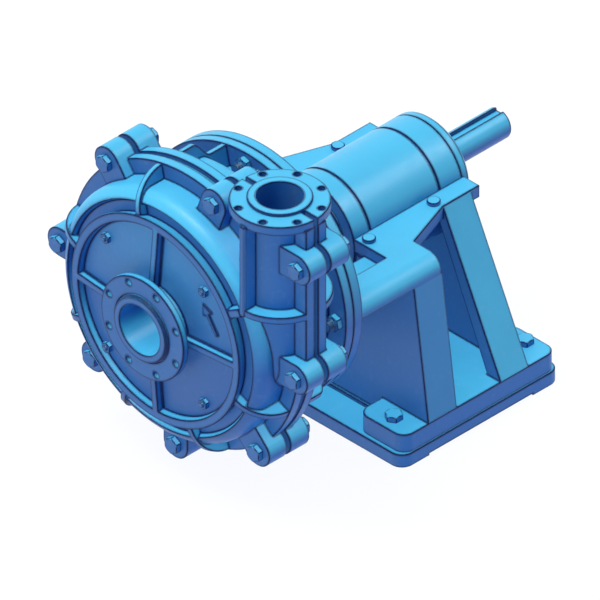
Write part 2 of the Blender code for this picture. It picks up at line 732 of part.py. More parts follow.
def make_volute_liner(anchor, material):
    """The renewable lining: a ring with a branch up to the discharge flange."""
    edge = CAVITY_ROUND - GAP
    front, back = COVER_INNER_Y + GAP, PLATE_INNER_Y - GAP
    profile = [(front, 0.0)]
    profile += arc((front + edge, LINER_RADIUS - edge), (-edge, edge), 0, 90, STEPS_ARC)
    profile += arc((back - edge, LINER_RADIUS - edge), (edge, edge), 90, 0, STEPS_ARC)
    profile += [(back, 0.0)]
    body = turned(profile, STEPS_LARGE)
    branch = branch_shape(NECK_RADIUS - NECK_WALL - GAP, DISCHARGE_TOP_Z + DISCHARGE_RING_HEIGHT,
                          (DISCHARGE_RING_RADIUS, DISCHARGE_TOP_Z + GAP))
    flange = parting_plate(FRONT_FACE_Y + GAP, REAR_FACE_Y - GAP, LINER_FLANGE_SETBACK)
    fuse(body, branch, flange)
    round_edge = 0.016
    chamber = [(CHAMBER_FRONT_Y, 0.0)]
    chamber += arc((CHAMBER_FRONT_Y + round_edge, CHAMBER_RADIUS - round_edge),
                   (-round_edge, round_edge), 0, 90, 2)
    chamber += arc((CHAMBER_BACK_Y - round_edge, CHAMBER_RADIUS - round_edge),
                   (round_edge, round_edge), 90, 0, 2)
    chamber += [(CHAMBER_BACK_Y, 0.0)]
    cuts = [turned(chamber, STEPS_LARGE)]
    cuts += [drum(BUSH_RADIUS + GAP, front - 0.01, back + 0.01, STEPS_LARGE)]
    cuts += [branch_shape(DISCHARGE_BORE_RADIUS, DISCHARGE_TOP_Z + 0.02)]
    cuts += [rod(M20_RADIUS + 2 * GAP, FRONT_FACE_Y - 0.01, REAR_FACE_Y + 0.01, place)
             for place, _ in lug_outlines()]
    carve(body, *cuts)
    return settle(body, "volute_liner", material, anchor)


def make_throatbush(anchor, material):
    """The front liner: a disc with the suction nozzle."""
    front = COVER_INNER_Y + GAP
    profile = [
        (NOZZLE_RECESS, SUCTION_BORE_RADIUS),
        (NOZZLE_RECESS, NOZZLE_RADIUS),
        (front, NOZZLE_RADIUS),
        (front, BUSH_RADIUS),
        (CHAMBER_FRONT_Y, BUSH_RADIUS),
        (CHAMBER_FRONT_Y, SUCTION_BORE_RADIUS),
    ]
    body = turned(profile, STEPS_LARGE)
    return settle(body, "throatbush", material, anchor)


def make_frame_plate_liner(anchor, material):
    profile = [
        (CHAMBER_BACK_Y, HUB_RADIUS + THROAT_GAP),
        (CHAMBER_BACK_Y, BUSH_RADIUS),
        (PLATE_INNER_Y - GAP, BUSH_RADIUS),
        (PLATE_INNER_Y - GAP, HUB_RADIUS + THROAT_GAP),
    ]
    body = turned(profile, STEPS_LARGE)
    return settle(body, "frame_plate_liner", material, anchor)


def vane_outline():
    """One impeller vane, swept back against the turn, in X and Z."""
    outer, inner = [], []
    count = 6
    start, end = EYE_RADIUS - 0.012, IMPELLER_RADIUS - 0.001
    for step in range(count + 1):
        share = step / count
        radius = start + (end - start) * share
        angle = math.radians(VANE_SWEEP) * (1.0 - share) ** 1.3
        half = VANE_THICKNESS / 2 / radius * (0.65 + 0.7 * share * (1.6 - share))
        outer.append((radius * math.cos(angle + half), radius * math.sin(angle + half)))
        inner.append((radius * math.cos(angle - half), radius * math.sin(angle - half)))
    return outer + inner[::-1]


def make_impeller(anchor, material):
    """A closed impeller: two shrouds, curved vanes between, short vanes outside."""
    front, back = IMPELLER_FRONT_Y, IMPELLER_BACK_Y
    hub_end = SLEEVE_START_Y - GAP
    bore_start = hub_end - SHAFT_NOSE_LENGTH
    rear = [
        (bore_start - 1.4 * HUB_WALL, 0.0),
        (bore_start - 1.2 * HUB_WALL, SHAFT_NOSE_RADIUS / 2),
        (bore_start, SHAFT_NOSE_RADIUS + HUB_WALL),
        (back - SHROUD_THICKNESS, HUB_RADIUS + HUB_WALL),
        (back - SHROUD_THICKNESS, IMPELLER_RADIUS),
        (back, IMPELLER_RADIUS),
        (back, HUB_RADIUS),
        (hub_end, HUB_RADIUS),
        (hub_end, 0.0),
    ]
    body = turned(rear, STEPS_MIDDLE)
    outer_face = front + SHROUD_THICKNESS
    shroud = turned([
        (front, EYE_RADIUS),
        (front, IMPELLER_RADIUS),
        (outer_face, IMPELLER_RADIUS),
        (outer_face, EYE_RADIUS + 0.010),
        (outer_face - 0.006, EYE_RADIUS),
    ], STEPS_MIDDLE)
    parts = [shroud]
    for index in range(VANE_COUNT):
        vane = prism(vane_outline(), front + 0.004, back - 0.004)
        parts.append(spin_about_shaft(vane, 360 * index / VANE_COUNT))
    for index in range(PUMP_OUT_VANES):
        for face, direction in ((front, -1), (back, 1)):
            reach = sorted((face - 0.002 * direction, face + PUMP_OUT_HEIGHT * direction))
            short = block(HUB_RADIUS + 0.030, IMPELLER_RADIUS - 0.004, *reach, -0.004, 0.004)
            parts.append(spin_about_shaft(short, 360 * (index + 0.3) / PUMP_OUT_VANES))
    fuse(body, *parts)
    bore = drum(SHAFT_NOSE_RADIUS + GAP, bore_start, hub_end + 0.01, STEPS_MIDDLE)
    carve(body, bore)
    return settle(body, "impeller", material, anchor)


def make_shaft(anchor, material):
    nose = SLEEVE_START_Y - GAP - SHAFT_NOSE_LENGTH + GAP
    wet_seat = WET_CUP_Y
    drive_seat = DRIVE_CUP_Y
    profile = [
        (nose, 0.0),
        (nose, SHAFT_NOSE_RADIUS - 0.002),
        (nose + 0.002, SHAFT_NOSE_RADIUS),
        (SLEEVE_START_Y, SHAFT_NOSE_RADIUS),
        (SLEEVE_START_Y, SHAFT_RADIUS),
        (wet_seat, SHAFT_RADIUS),
        (wet_seat, JOURNAL_RADIUS - GAP),
        (wet_seat + BEARING_WIDTH + GAP, JOURNAL_RADIUS - GAP),
        (wet_seat + BEARING_WIDTH + GAP, SHAFT_BODY_RADIUS),
        (drive_seat - GAP, SHAFT_BODY_RADIUS),
        (drive_seat - GAP, JOURNAL_RADIUS - GAP),
        (drive_seat + BEARING_WIDTH, JOURNAL_RADIUS - GAP),
        (drive_seat + BEARING_WIDTH, SHAFT_RADIUS),
        (SHAFT_END_Y - SHAFT_CHAMFER, SHAFT_RADIUS),
        (SHAFT_END_Y, SHAFT_RADIUS - SHAFT_CHAMFER),
        (SHAFT_END_Y, 0.0),
    ]
    body = turned(profile, STEPS_MIDDLE)
    half = KEYWAY_WIDTH / 2
    start = SHAFT_END_Y - KEYWAY_LENGTH
    slot = tongue((start, 0.0), half, 180, KEYWAY_LENGTH + 0.01, 8)
    outline = [(side, along) for along, side in slot]
    carve(body, prism(outline, SHAFT_RADIUS - KEYWAY_DEPTH, SHAFT_RADIUS + 0.01, "Z"))
    return settle(body, "shaft", material, anchor)


def make_shaft_sleeve(anchor, material):
    start = SLEEVE_START_Y + GAP
    body = ring_shape(SHAFT_RADIUS + GAP, SLEEVE_RADIUS, start, start + SLEEVE_LENGTH)
    return settle(body, "shaft_sleeve", material, anchor)


def make_stuffing_box(anchor, material):
    throat_end = BOX_START_Y + BOX_THROAT_LENGTH
    collar_start = PLATE_BACK_Y + GAP
    profile = [
        (BOX_START_Y, HUB_RADIUS + THROAT_GAP),
        (BOX_START_Y, BOX_RADIUS),
        (collar_start, BOX_RADIUS),
        (collar_start, BOX_COLLAR_RADIUS),
        (collar_start + BOX_COLLAR_THICKNESS, BOX_COLLAR_RADIUS),
        (collar_start + BOX_COLLAR_THICKNESS, BOX_RADIUS),
        (BOX_END_Y, BOX_RADIUS),
        (BOX_END_Y, BOX_BORE_RADIUS),
        (throat_end, BOX_BORE_RADIUS),
        (throat_end, HUB_RADIUS + THROAT_GAP),
    ]
    body = turned(profile, STEPS_MIDDLE)
    holes = [rod(GLAND_STUD_RADIUS + GAP, PLATE_BACK_Y - 0.01, SEAT_Y, (side * GLAND_STUD_X, 0.0))
             for side in (-1, 1)]
    carve(body, *holes)
    return settle(body, "stuffing_box", material, anchor)


def make_packing(anchor, packing, bronze):
    """Square packing with the lantern ring second from the throat."""
    names = ("packing_ring_1", "lantern_ring", "packing_ring_2", "packing_ring_3")
    for index, name in enumerate(names):
        start = PACKING_START_Y + index * (PACKING_WIDTH + GAP)
        inner, outer = running_bore(SLEEVE_RADIUS), BOX_BORE_RADIUS - GAP
        material = packing
        if name == "lantern_ring":
            inner = SLEEVE_RADIUS + THROAT_GAP
            material = bronze
        body = ring_shape(inner, outer, start, start + PACKING_WIDTH)
        settle(body, name, material, anchor)


def make_gland(anchor, material):
    """The oval follower that presses the packing."""
    body = ring_shape(SLEEVE_RADIUS + THROAT_GAP, BOX_BORE_RADIUS - GAP,
                      GLAND_START_Y, GLAND_FLANGE_Y + 0.004)
    middle = drum(GLAND_FLANGE_RADIUS, GLAND_FLANGE_Y, GLAND_BACK_Y, STEPS_MIDDLE)
    ears = []
    for side in (-1, 1):
        angle = 0 if side > 0 else 180
        outline = tongue((side * GLAND_STUD_X, 0.0), GLAND_EAR_RADIUS, angle, GLAND_STUD_X - 0.045)
        ears.append(prism(outline, GLAND_FLANGE_Y, GLAND_BACK_Y))
    fuse(body, middle, *ears)
    cuts = [drum(SLEEVE_RADIUS + THROAT_GAP, GLAND_START_Y - 0.01, GLAND_BACK_Y + 0.01,
                 STEPS_MIDDLE)]
    cuts += [rod(GLAND_STUD_RADIUS + GAP, GLAND_FLANGE_Y - 0.01, GLAND_BACK_Y + 0.01,
                 (side * GLAND_STUD_X, 0.0)) for side in (-1, 1)]
    carve(body, *cuts)
    return settle(body, "gland", material, anchor)


def make_gland_fasteners(anchor, material):
    for side, word in ((-1, "left"), (1, "right")):
        spot = (side * GLAND_STUD_X, 0.0)
        collar_back = PLATE_BACK_Y + GAP + BOX_COLLAR_THICKNESS
        end = GLAND_BACK_Y + GAP + ADJUST_NUT + GLAND_TRAVEL + STUD_TAIL
        stud = rod(GLAND_STUD_RADIUS, PLATE_BACK_Y + 2 * GAP, end, spot)
        shoulder = prism(hexagon(spot, ADJUST_FLATS), collar_back + GAP, collar_back + ADJUST_NUT)
        fuse(stud, shoulder)
        settle(stud, f"gland_stud_{word}", material, anchor)
        nut = prism(hexagon(spot, ADJUST_FLATS), GLAND_BACK_Y + GAP, GLAND_BACK_Y + ADJUST_NUT)
        carve(nut, rod(GLAND_STUD_RADIUS + GAP, GLAND_BACK_Y - 0.01, end, spot))
        settle(nut, f"gland_nut_{word}", material, anchor)


def make_bearing_housing(anchor, material):
    wet_shoulder = WET_CUP_Y + BEARING_WIDTH + GAP
    drive_shoulder = DRIVE_CUP_Y - GAP
    profile = [(HOUSING_START_Y, HOUSING_BORE_RADIUS), (HOUSING_START_Y, HOUSING_RADIUS - 0.002),
               (HOUSING_START_Y + 0.002, HOUSING_RADIUS)]
    for from_start in HOUSING_GROOVES:
        start = HOUSING_START_Y + from_start
        profile += [
            (start, HOUSING_RADIUS),
            (start, HOUSING_RADIUS - GROOVE_DEPTH),
            (start + GROOVE_WIDTH, HOUSING_RADIUS - GROOVE_DEPTH),
            (start + GROOVE_WIDTH, HOUSING_RADIUS),
        ]
    profile += [
        (HOUSING_END_Y, HOUSING_RADIUS),
        (HOUSING_END_Y, HOUSING_BORE_RADIUS),
        (drive_shoulder, HOUSING_BORE_RADIUS),
        (drive_shoulder, HOUSING_MIDDLE_RADIUS),
        (wet_shoulder, HOUSING_MIDDLE_RADIUS),
        (wet_shoulder, HOUSING_BORE_RADIUS),
    ]
    body = turned(profile, STEPS_HOUSING)
    return settle(body, "bearing_housing", material, anchor)


def adjusting_hole(start, end):
    """A cutter for the holes that the adjusting screw goes through."""
    radius = running_bore(ADJUST_RADIUS, STEPS_SCREW)
    return rod(radius, start, end, (0.0, ADJUST_Z), steps=STEPS_SCREW)


def make_end_covers(anchor, material):
    start = HOUSING_START_Y - WET_COVER_PROUD
    wet = ring_shape(COVER_SEAL_RADIUS, HOUSING_BORE_RADIUS - GAP, start, WET_CUP_Y - GAP,
                     STEPS_HOUSING)
    settle(wet, "wet_end_cover", material, anchor)
    profile = [
        (DRIVE_COVER_Y - DRIVE_SPIGOT_LENGTH, COVER_SEAL_RADIUS),
        (DRIVE_COVER_Y - DRIVE_SPIGOT_LENGTH, HOUSING_BORE_RADIUS - GAP),
        (DRIVE_COVER_Y, HOUSING_BORE_RADIUS - GAP),
        (DRIVE_COVER_Y, HOUSING_RADIUS),
        (DRIVE_COVER_END_Y - DRIVE_COVER_CHAMFER, HOUSING_RADIUS),
        (DRIVE_COVER_END_Y, HOUSING_RADIUS - DRIVE_COVER_CHAMFER),
        (DRIVE_COVER_END_Y, COVER_SEAL_RADIUS),
    ]
    drive = turned(profile, STEPS_HOUSING)
    half = ADJUST_LUG_HALF_WIDTH
    lug = prism(tongue((0.0, ADJUST_Z), half, 270, -ADJUST_Z - HOUSING_RADIUS + 0.012, 8),
                ADJUST_LUG_Y, ADJUST_LUG_BACK_Y)
    fuse(drive, lug)
    carve(drive, adjusting_hole(ADJUST_LUG_Y - 0.01, ADJUST_LUG_BACK_Y + 0.01))
    settle(drive, "drive_end_cover", material, anchor)


def make_bearing(anchor, word, start, material, cage_material):
    """A roller bearing: outer cup, inner cone, and the cage with its rollers."""
    end = start + BEARING_WIDTH
    cup = ring_shape(CUP_INNER_RADIUS, HOUSING_BORE_RADIUS - GAP, start, end, STEPS_HOUSING)
    settle(cup, f"{word}_bearing_cup", material, anchor)
    cone = ring_shape(JOURNAL_RADIUS, CONE_OUTER_RADIUS, start, end)
    settle(cone, f"{word}_bearing_cone", material, anchor)
    middle = (CUP_INNER_RADIUS + CONE_OUTER_RADIUS) / 2
    cage = ring_shape(middle - CAGE_HALF_THICKNESS, middle + CAGE_HALF_THICKNESS,
                      start + 0.001, end - 0.001)
    rollers = []
    for index in range(ROLLER_COUNT):
        spot = turned_place(360 * index / ROLLER_COUNT, middle)
        rollers.append(rod(ROLLER_RADIUS, start + 0.003, end - 0.003, spot))
    fuse(cage, *rollers)
    settle(cage, f"{word}_roller_cage", cage_material, anchor)


def leaning_wall(top_x, top_z, front, back, leg_depth, web_at_front):
    """A wall of the pedestal: a web between two leaning leg flanges."""
    foot_x = BASE_HALF_WIDTH - 0.001
    low = BASE_UNDER_Z + 0.004
    outline = [(-foot_x, low), (foot_x, low), (foot_x, BASE_TOP_Z), (top_x, top_z),
               (-top_x, top_z), (-foot_x, BASE_TOP_Z)]
    if web_at_front:
        web = prism(outline, front, front + WALL_WEB)
    else:
        web = prism(outline, back - WALL_WEB, back)
    legs = []
    for side in (-1, 1):
        leg = [
            (side * foot_x, low),
            (side * foot_x, BASE_TOP_Z),
            (side * top_x, top_z),
            (side * (top_x - LEG_WIDTH), top_z),
            (side * (foot_x - LEG_WIDTH - 0.008), BASE_TOP_Z),
            (side * (foot_x - LEG_WIDTH - 0.008), low),
        ]
        legs.append(prism(leg, front, front + leg_depth))
    return [web] + legs


def frame_arm(side):
    """The round-edged bar from the frame's ring to its platform, with the step inside it."""
    edge = arc((ARM_OUTER_X - ARM_ROUND, PLATFORM_Z - ARM_ROUND), (ARM_ROUND, ARM_ROUND), 90, 0, STEPS_ARC + 1)
    outline = [(ARM_INNER_X, ARM_BOTTOM_Z), (ARM_INNER_X, PLATFORM_Z)] + edge
    outline += [(ARM_OUTER_X, ARM_BOTTOM_Z)]
    bar = prism([(side * x, z) for x, z in outline], SEAT_Y + 0.012,
                PLATFORM_START_Y + PLATFORM_WIDE_LENGTH)
    step = [
        (LEDGE_INNER_X, ARM_LEDGE_BOTTOM_Z),
        (LEDGE_INNER_X, ARM_LEDGE_TOP_Z),
        (ARM_INNER_X + 0.004, ARM_LEDGE_TOP_Z),
        (ARM_INNER_X + 0.004, ARM_LEDGE_BOTTOM_Z),
    ]
    inner = prism([(side * x, z) for x, z in step], SEAT_Y + 0.014, FRONT_WALL_Y + 0.010)
    return [bar, inner]


def frame_platform():
    """The top of the pedestal, which narrows towards the drive end."""
    wide_y = PLATFORM_START_Y + PLATFORM_WIDE_LENGTH
    half = [
        (ARM_OUTER_X - ARM_ROUND, PLATFORM_START_Y),
        (ARM_OUTER_X - ARM_ROUND, wide_y - 0.0005),
        (ARM_INNER_X, wide_y - 0.0005),
        (PLATFORM_WAIST_X, REAR_WALL_Y),
        (PLATFORM_WAIST_X, PLATFORM_END_Y),
    ]
    outline = half + [(-x, y) for x, y in reversed(half)]
    return prism(outline, PLATFORM_Z - PLATFORM_THICKNESS, PLATFORM_Z, "Z")


def frame_base():
    """The pedestal's base, with a rounded foot for each foot bolt."""
    both = (FOOT_ROUND, FOOT_ROUND)
    inner, outer = FOOT_INNER_X + FOOT_ROUND, BASE_HALF_WIDTH - FOOT_ROUND
    front, back = FOOT_FRONT_Y + FOOT_ROUND, FOOT_BACK_Y - FOOT_ROUND
    half = [(FOOT_INNER_X, BASE_FRONT_Y)]
    half += arc((inner, front), both, 180, 270, STEPS_ARC)
    half += arc((outer, front), both, 270, 360, STEPS_ARC)
    half += arc((outer, back), both, 0, 90, STEPS_ARC)
    half += arc((inner, back), both, 90, 180, STEPS_ARC)
    half += [(FOOT_INNER_X, BASE_BACK_Y)]
    outline = half + [(-x, y) for x, y in reversed(half)]
    return prism(outline, BASE_UNDER_Z, BASE_TOP_Z, "Z")


def make_bearing_frame(anchor, material):
    """The main casting: ring, arms, platform with the bearing saddle, and pedestal."""
    body = frame_base()
    parts = leaning_wall(ARM_OUTER_X - 0.0005, ARM_BOTTOM_Z + 0.004, FRONT_WALL_Y,
                         FRONT_WALL_Y + LEG_DEPTH, LEG_DEPTH, True)
    parts += leaning_wall(REAR_TOP_X, PLATFORM_Z - 0.001, REAR_WALL_Y, REAR_WALL_BACK_Y,
                          REAR_WALL_DEPTH, False)
    parts += [frame_platform()]
    ring = ring_shape(RING_BORE_RADIUS, RING_RADIUS, SEAT_Y, RING_BACK_Y, STEPS_LARGE)
    saddle_radius = HOUSING_RADIUS + SADDLE_WALL
    saddle_outline = arc((0.0, 0.0), (saddle_radius, saddle_radius), 180, 360, 12)
    saddle_outline += [(saddle_radius, PLATFORM_Z / 2), (-saddle_radius, PLATFORM_Z / 2)]
    saddle = prism(saddle_outline, PLATFORM_START_Y + 0.006, REAR_WALL_BACK_Y - 0.004)
    chin = block(-CHIN_THICKNESS / 2, CHIN_THICKNESS / 2, SEAT_Y + 0.018, FRONT_WALL_Y + 0.010,
                 -RING_RADIUS + 0.012, -RING_BORE_RADIUS - 0.004)
    boss = block(-ADJUST_LUG_HALF_WIDTH, ADJUST_LUG_HALF_WIDTH, REAR_WALL_BACK_Y - 0.008,
                 ADJUST_BOSS_Y, ADJUST_Z - ADJUST_LUG_HALF_WIDTH, ADJUST_Z + ADJUST_LUG_HALF_WIDTH)
    parts += [ring, saddle, chin, boss]
    for side in (-1, 1):
        parts += frame_arm(side)
    fuse(body, *parts)
    cuts = [drum(HOUSING_RADIUS + GAP, PLATFORM_START_Y - 0.05, PLATFORM_END_Y + 0.05,
                 STEPS_HOUSING)]
    cuts += [block(-BASE_HALF_WIDTH + 0.040, BASE_HALF_WIDTH - 0.040, BASE_FRONT_Y + 0.045,
                   BASE_BACK_Y - 0.030, BASE_UNDER_Z - 0.01, BASE_UNDER_Z + BASE_POCKET_DEPTH)]
    cuts += [adjusting_hole(REAR_WALL_BACK_Y - 0.05, ADJUST_BOSS_Y + 0.01)]
    for angle in (0, 90, 180, 270):
        spot = turned_place(angle, RING_STUD_CIRCLE)
        cuts.append(rod(M20_RADIUS + GAP, SEAT_Y - 0.01, SEAT_Y + 0.030, spot))
    for side in (-1, 1):
        for along in FOOT_BOLTS_Y:
            cuts.append(rod(M20_RADIUS + GAP, BASE_UNDER_Z - 0.01, BASE_TOP_Z + 0.01,
                            (side * FOOT_BOLT_X, along), "Z"))
        for inset in CLAMP_BOLT_INSET:
            spot = (side * CLAMP_BOLT_X, PLATFORM_START_Y + inset)
            cuts.append(rod(CLAMP_BOLT_RADIUS + GAP, PLATFORM_Z - 0.024, PLATFORM_Z + 0.01,
                            spot, "Z"))
    carve(body, *cuts)
    return settle(body, "bearing_frame", material, anchor)


def make_sole_plate(anchor, material):
    front = FOOT_FRONT_Y - SOLE_OVERHANG
    back = FOOT_BACK_Y + SOLE_OVERHANG
    outline = rounded_rectangle(-SOLE_HALF_WIDTH, front, SOLE_HALF_WIDTH, back, SOLE_ROUND)
    body = prism(outline, GROUND_Z, SOLE_TOP_Z, "Z")
    cuts = [block(-SOLE_HALF_WIDTH - 0.01, SOLE_HALF_WIDTH + 0.01, front + SOLE_PAD_LENGTH,
                  back - SOLE_PAD_LENGTH, GROUND_Z - 0.01, SOLE_UNDER_Z)]
    for side in (-1, 1):
        for along in FOOT_BOLTS_Y:
            cuts.append(rod(M20_RADIUS + GAP, GROUND_Z - 0.01, SOLE_TOP_Z + 0.01,
                            (side * FOOT_BOLT_X, along), "Z"))
    carve(body, *cuts)
    return settle(body, "sole_plate", material, anchor)


def hex_bolt(place, flats, head_start, head_end, shank_start, shank_end, radius, axis="Y"):
    """A hexagon head with its shank, along one axis."""
    head = prism(hexagon(place, flats), head_start, head_end, axis)
    return fuse(head, rod(radius, shank_start, shank_end, place, axis))


def make_cover_bolts(anchor, material):
    for number, (place, _) in enumerate(lug_outlines(), start=1):
        head_back = FRONT_LUG_Y - GAP
        nut_start = REAR_LUG_Y + GAP
        tail = nut_start + M20_NUT + STUD_TAIL / 2
        bolt = hex_bolt(place, M20_FLATS, head_back - M20_HEAD, head_back, head_back - 0.004,
                        tail, M20_RADIUS)
        settle(bolt, f"cover_bolt_{number}", material, anchor)
        nut = prism(hexagon(place, M20_FLATS), nut_start, nut_start + M20_NUT)
        carve(nut, rod(M20_RADIUS + GAP, nut_start - 0.01, tail + 0.01, place))
        settle(nut, f"cover_nut_{number}", material, anchor)


def make_frame_studs(anchor, material):
    """The bolts that hold the frame plate to the bearing frame's ring."""
    for number, angle in enumerate((0, 90, 180, 270), start=1):
        place = turned_place(angle, RING_STUD_CIRCLE)
        head_back = SEAT_Y - REAR_FLANGE_THICKNESS - GAP
        bolt = hex_bolt(place, M20_FLATS, head_back - M20_NUT, head_back,
                        head_back - M20_NUT - STUD_TAIL / 2, SEAT_Y + 0.029, M20_RADIUS)
        settle(bolt, f"frame_stud_{number}", material, anchor)


def make_foot_bolts(anchor, material):
    number = 1
    for along in FOOT_BOLTS_Y:
        for side in (-1, 1):
            place = (side * FOOT_BOLT_X, along)
            under = BASE_TOP_Z + GAP
            bolt = hex_bolt(place, M20_FLATS, under, under + M20_HEAD, GROUND_Z + 0.004,
                            under + 0.004, M20_RADIUS, "Z")
            settle(bolt, f"foot_bolt_{number}", material, anchor)
            number += 1


def make_clamp_bolts(anchor, material):
    """The round-headed bolts beside the bearing housing."""
    number = 1
    for inset in CLAMP_BOLT_INSET:
        for side in (-1, 1):
            place = (side * CLAMP_BOLT_X, PLATFORM_START_Y + inset)
            under = PLATFORM_Z + GAP
            cap = turned([
                (under, 0.0),
                (under, CLAMP_CAP_RADIUS),
                (under + CLAMP_CAP_HEIGHT - 0.001, CLAMP_CAP_RADIUS),
                (under + CLAMP_CAP_HEIGHT, CLAMP_CAP_RADIUS - 0.001),
                (under + CLAMP_CAP_HEIGHT, 0.0),
            ], 16, place, "Z")
            fuse(cap, rod(CLAMP_BOLT_RADIUS, PLATFORM_Z - 0.023, under + 0.002, place, "Z"))
            settle(cap, f"clamp_bolt_{number}", material, anchor)
            number += 1


def make_adjusting_screw(anchor, material):
    """The screw below the bearing housing that sets the impeller's gap, with its two nuts."""
    place = (0.0, ADJUST_Z)
    end = ADJUST_LUG_BACK_Y + ADJUST_NUT + 0.020
    screw = rod(ADJUST_RADIUS, REAR_WALL_BACK_Y - WALL_WEB - 0.010, end, place,
                steps=STEPS_SCREW)
    settle(screw, "adjusting_screw", material, anchor)
    nuts = (
        ("adjusting_nut_front", ADJUST_LUG_Y - GAP - ADJUST_NUT, ADJUST_LUG_Y - GAP),
        ("adjusting_nut_rear", ADJUST_LUG_BACK_Y + GAP, ADJUST_LUG_BACK_Y + GAP + ADJUST_NUT),
    )
    for name, start, stop in nuts:
        nut = prism(hexagon(place, ADJUST_FLATS), start, stop)
        carve(nut, adjusting_hole(start - 0.01, stop + 0.01))
        settle(nut, name, material, anchor, (0.0, start, ADJUST_Z))


def main():
    clear_scene()
    iron = paint("painted_iron", (0.080, 0.330, 0.640), 0.42, 0.0)
    fastener = paint("painted_steel", (0.090, 0.360, 0.660), 0.38, 0.1)
    white_iron = paint("white_iron", (0.300, 0.330, 0.360), 0.45, 0.9)
    steel = paint("machined_steel", (0.110, 0.380, 0.700), 0.30, 0.6)
    bearing_steel = paint("bearing_steel", (0.550, 0.560, 0.580), 0.22, 1.0)
    bronze = paint("bronze", (0.550, 0.340, 0.130), 0.35, 0.9)
    packing = paint("packing", (0.120, 0.110, 0.100), 0.85, 0.0)

    anchor = bpy.data.objects.new("pump", None)
    bpy.context.scene.collection.objects.link(anchor)
    anchor.location = (-(LEFT_X + RIGHT_X) / 2, -SHAFT_END_Y / 2, -GROUND_Z)

    make_sole_plate(anchor, iron)
    make_bearing_frame(anchor, iron)
    make_bearing_housing(anchor, iron)
    make_end_covers(anchor, iron)
    make_bearing(anchor, "wet", WET_CUP_Y, bearing_steel, bronze)
    make_bearing(anchor, "drive", DRIVE_CUP_Y, bearing_steel, bronze)
    make_frame_plate(anchor, iron)
    make_cover_plate(anchor, iron)
    make_volute_liner(anchor, white_iron)
    make_throatbush(anchor, white_iron)
    make_frame_plate_liner(anchor, white_iron)
    make_impeller(anchor, white_iron)
    make_shaft(anchor, steel)
    make_shaft_sleeve(anchor, steel)
    make_stuffing_box(anchor, iron)
    make_packing(anchor, packing, bronze)
    make_gland(anchor, iron)
    make_gland_fasteners(anchor, fastener)
    make_cover_bolts(anchor, fastener)
    make_frame_studs(anchor, fastener)
    make_foot_bolts(anchor, fastener)
    make_clamp_bolts(anchor, fastener)
    make_adjusting_screw(anchor, fastener)


main()
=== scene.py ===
"""Looks of the slurry pump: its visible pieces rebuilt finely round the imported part.

Lengths are metres, +Z up. Pieces are laid out from the centre of the suction flange's face, on the
shaft's axis with the shaft along +Y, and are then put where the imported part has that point.
"""
import math

import bmesh
import bpy
from mathutils import Matrix, Vector


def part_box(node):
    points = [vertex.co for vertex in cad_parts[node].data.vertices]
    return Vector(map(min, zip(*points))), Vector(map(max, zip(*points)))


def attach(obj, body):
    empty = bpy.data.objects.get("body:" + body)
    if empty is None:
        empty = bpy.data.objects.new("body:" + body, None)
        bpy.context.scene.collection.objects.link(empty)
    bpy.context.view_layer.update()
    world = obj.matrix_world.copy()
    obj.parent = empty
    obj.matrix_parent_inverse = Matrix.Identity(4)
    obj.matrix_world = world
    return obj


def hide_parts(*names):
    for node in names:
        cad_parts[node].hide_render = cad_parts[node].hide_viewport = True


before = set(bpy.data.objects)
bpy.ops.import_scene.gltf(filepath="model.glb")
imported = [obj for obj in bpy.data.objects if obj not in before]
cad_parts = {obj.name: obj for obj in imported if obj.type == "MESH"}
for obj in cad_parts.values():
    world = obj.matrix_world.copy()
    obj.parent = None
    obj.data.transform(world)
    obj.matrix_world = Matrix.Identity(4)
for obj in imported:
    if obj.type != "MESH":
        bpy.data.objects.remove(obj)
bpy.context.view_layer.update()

# Fits and roundness
GAP = 0.0003
THROAT_GAP = 0.0015
EDGE = 0.0013
FASTENER_EDGE = 0.0009
SOFT_EDGE = 0.0016
RUN_PAST = 0.01
SINK = 0.004
WELD = 2e-6
LARGE, HOUSING, MIDDLE, HOLE, ARC = 144, 112, 72, 28, 10
CORNER_DEGREES = 28
SMOOTH_DEGREES = 32

# Casing
SPLIT_Y = 0.1305
SPLIT_SLOT = 0.009
CASING_RADIUS = 0.2495
CASING_WALL = 0.014
CAVITY_ROUND = 0.020
CASING_INNER_WIDTH = 0.137
DISC_WALL = 0.016
PARTING_RADIUS = 0.280
PARTING_THICKNESS = 0.021
LUG_RADIUS = 0.030
LUG_CIRCLE = 0.287
LUG_ANGLES = (71, 126.5, 180, 225, 270, 315)
LUG_ROOT_SETBACK = 0.006
FRONT_LUG_LENGTH = 0.044
REAR_LUG_LENGTH = 0.047
SIDE_LUG = (0.2966, -0.0018)
NECK_LUG = (0.3028, 0.2354)
NECK_LUG_ROOT_X = 0.244
RIB_ANGLES = (103, 164, 206, 247.5, 292.5, 337.5)
RIB_THICKNESS = 0.013
QUARTERS = (0, 90, 180, 270)
SIDES = (-1, 1)

# Cover plate
RIM_INNER_RADIUS = 0.191
RIM_OUTER_RADIUS = 0.208
RIM_HEIGHT = 0.014
SHOULDER_RADIUS = 0.214
SHOULDER_DEPTH = 0.024
SHOULDER_STEP = 0.005
SHOULDER_START_DEGREES = 25
RIM_LIP = 0.0045
RIM_UNDERCUT = 0.007
RIM_GROOVE_DEPTH = 0.008
DISC_CONE = 0.010
DISC_RIB_WIDTH = 0.0145
DISC_RIB_FOOT = 0.0185
DISC_RIB_FILLET = 0.003
DISC_RIB_HEIGHT = 0.0143
DISC_STUD_PLACES = ((0.111, 0.114), (-0.1305, 0.109), (-0.127, -0.123), (0.112, -0.125))
DISC_NUT_FLATS = 0.019
DISC_NUT_HEIGHT = 0.010
DISC_STUD_RADIUS = 0.005
ARROW_TAIL = (0.145, 0.035)
ARROW_TIP = (0.110, 0.089)
ARROW_WIDTH = 0.0075
ARROW_HEAD_WIDTH = 0.026
ARROW_HEAD_LENGTH = 0.022
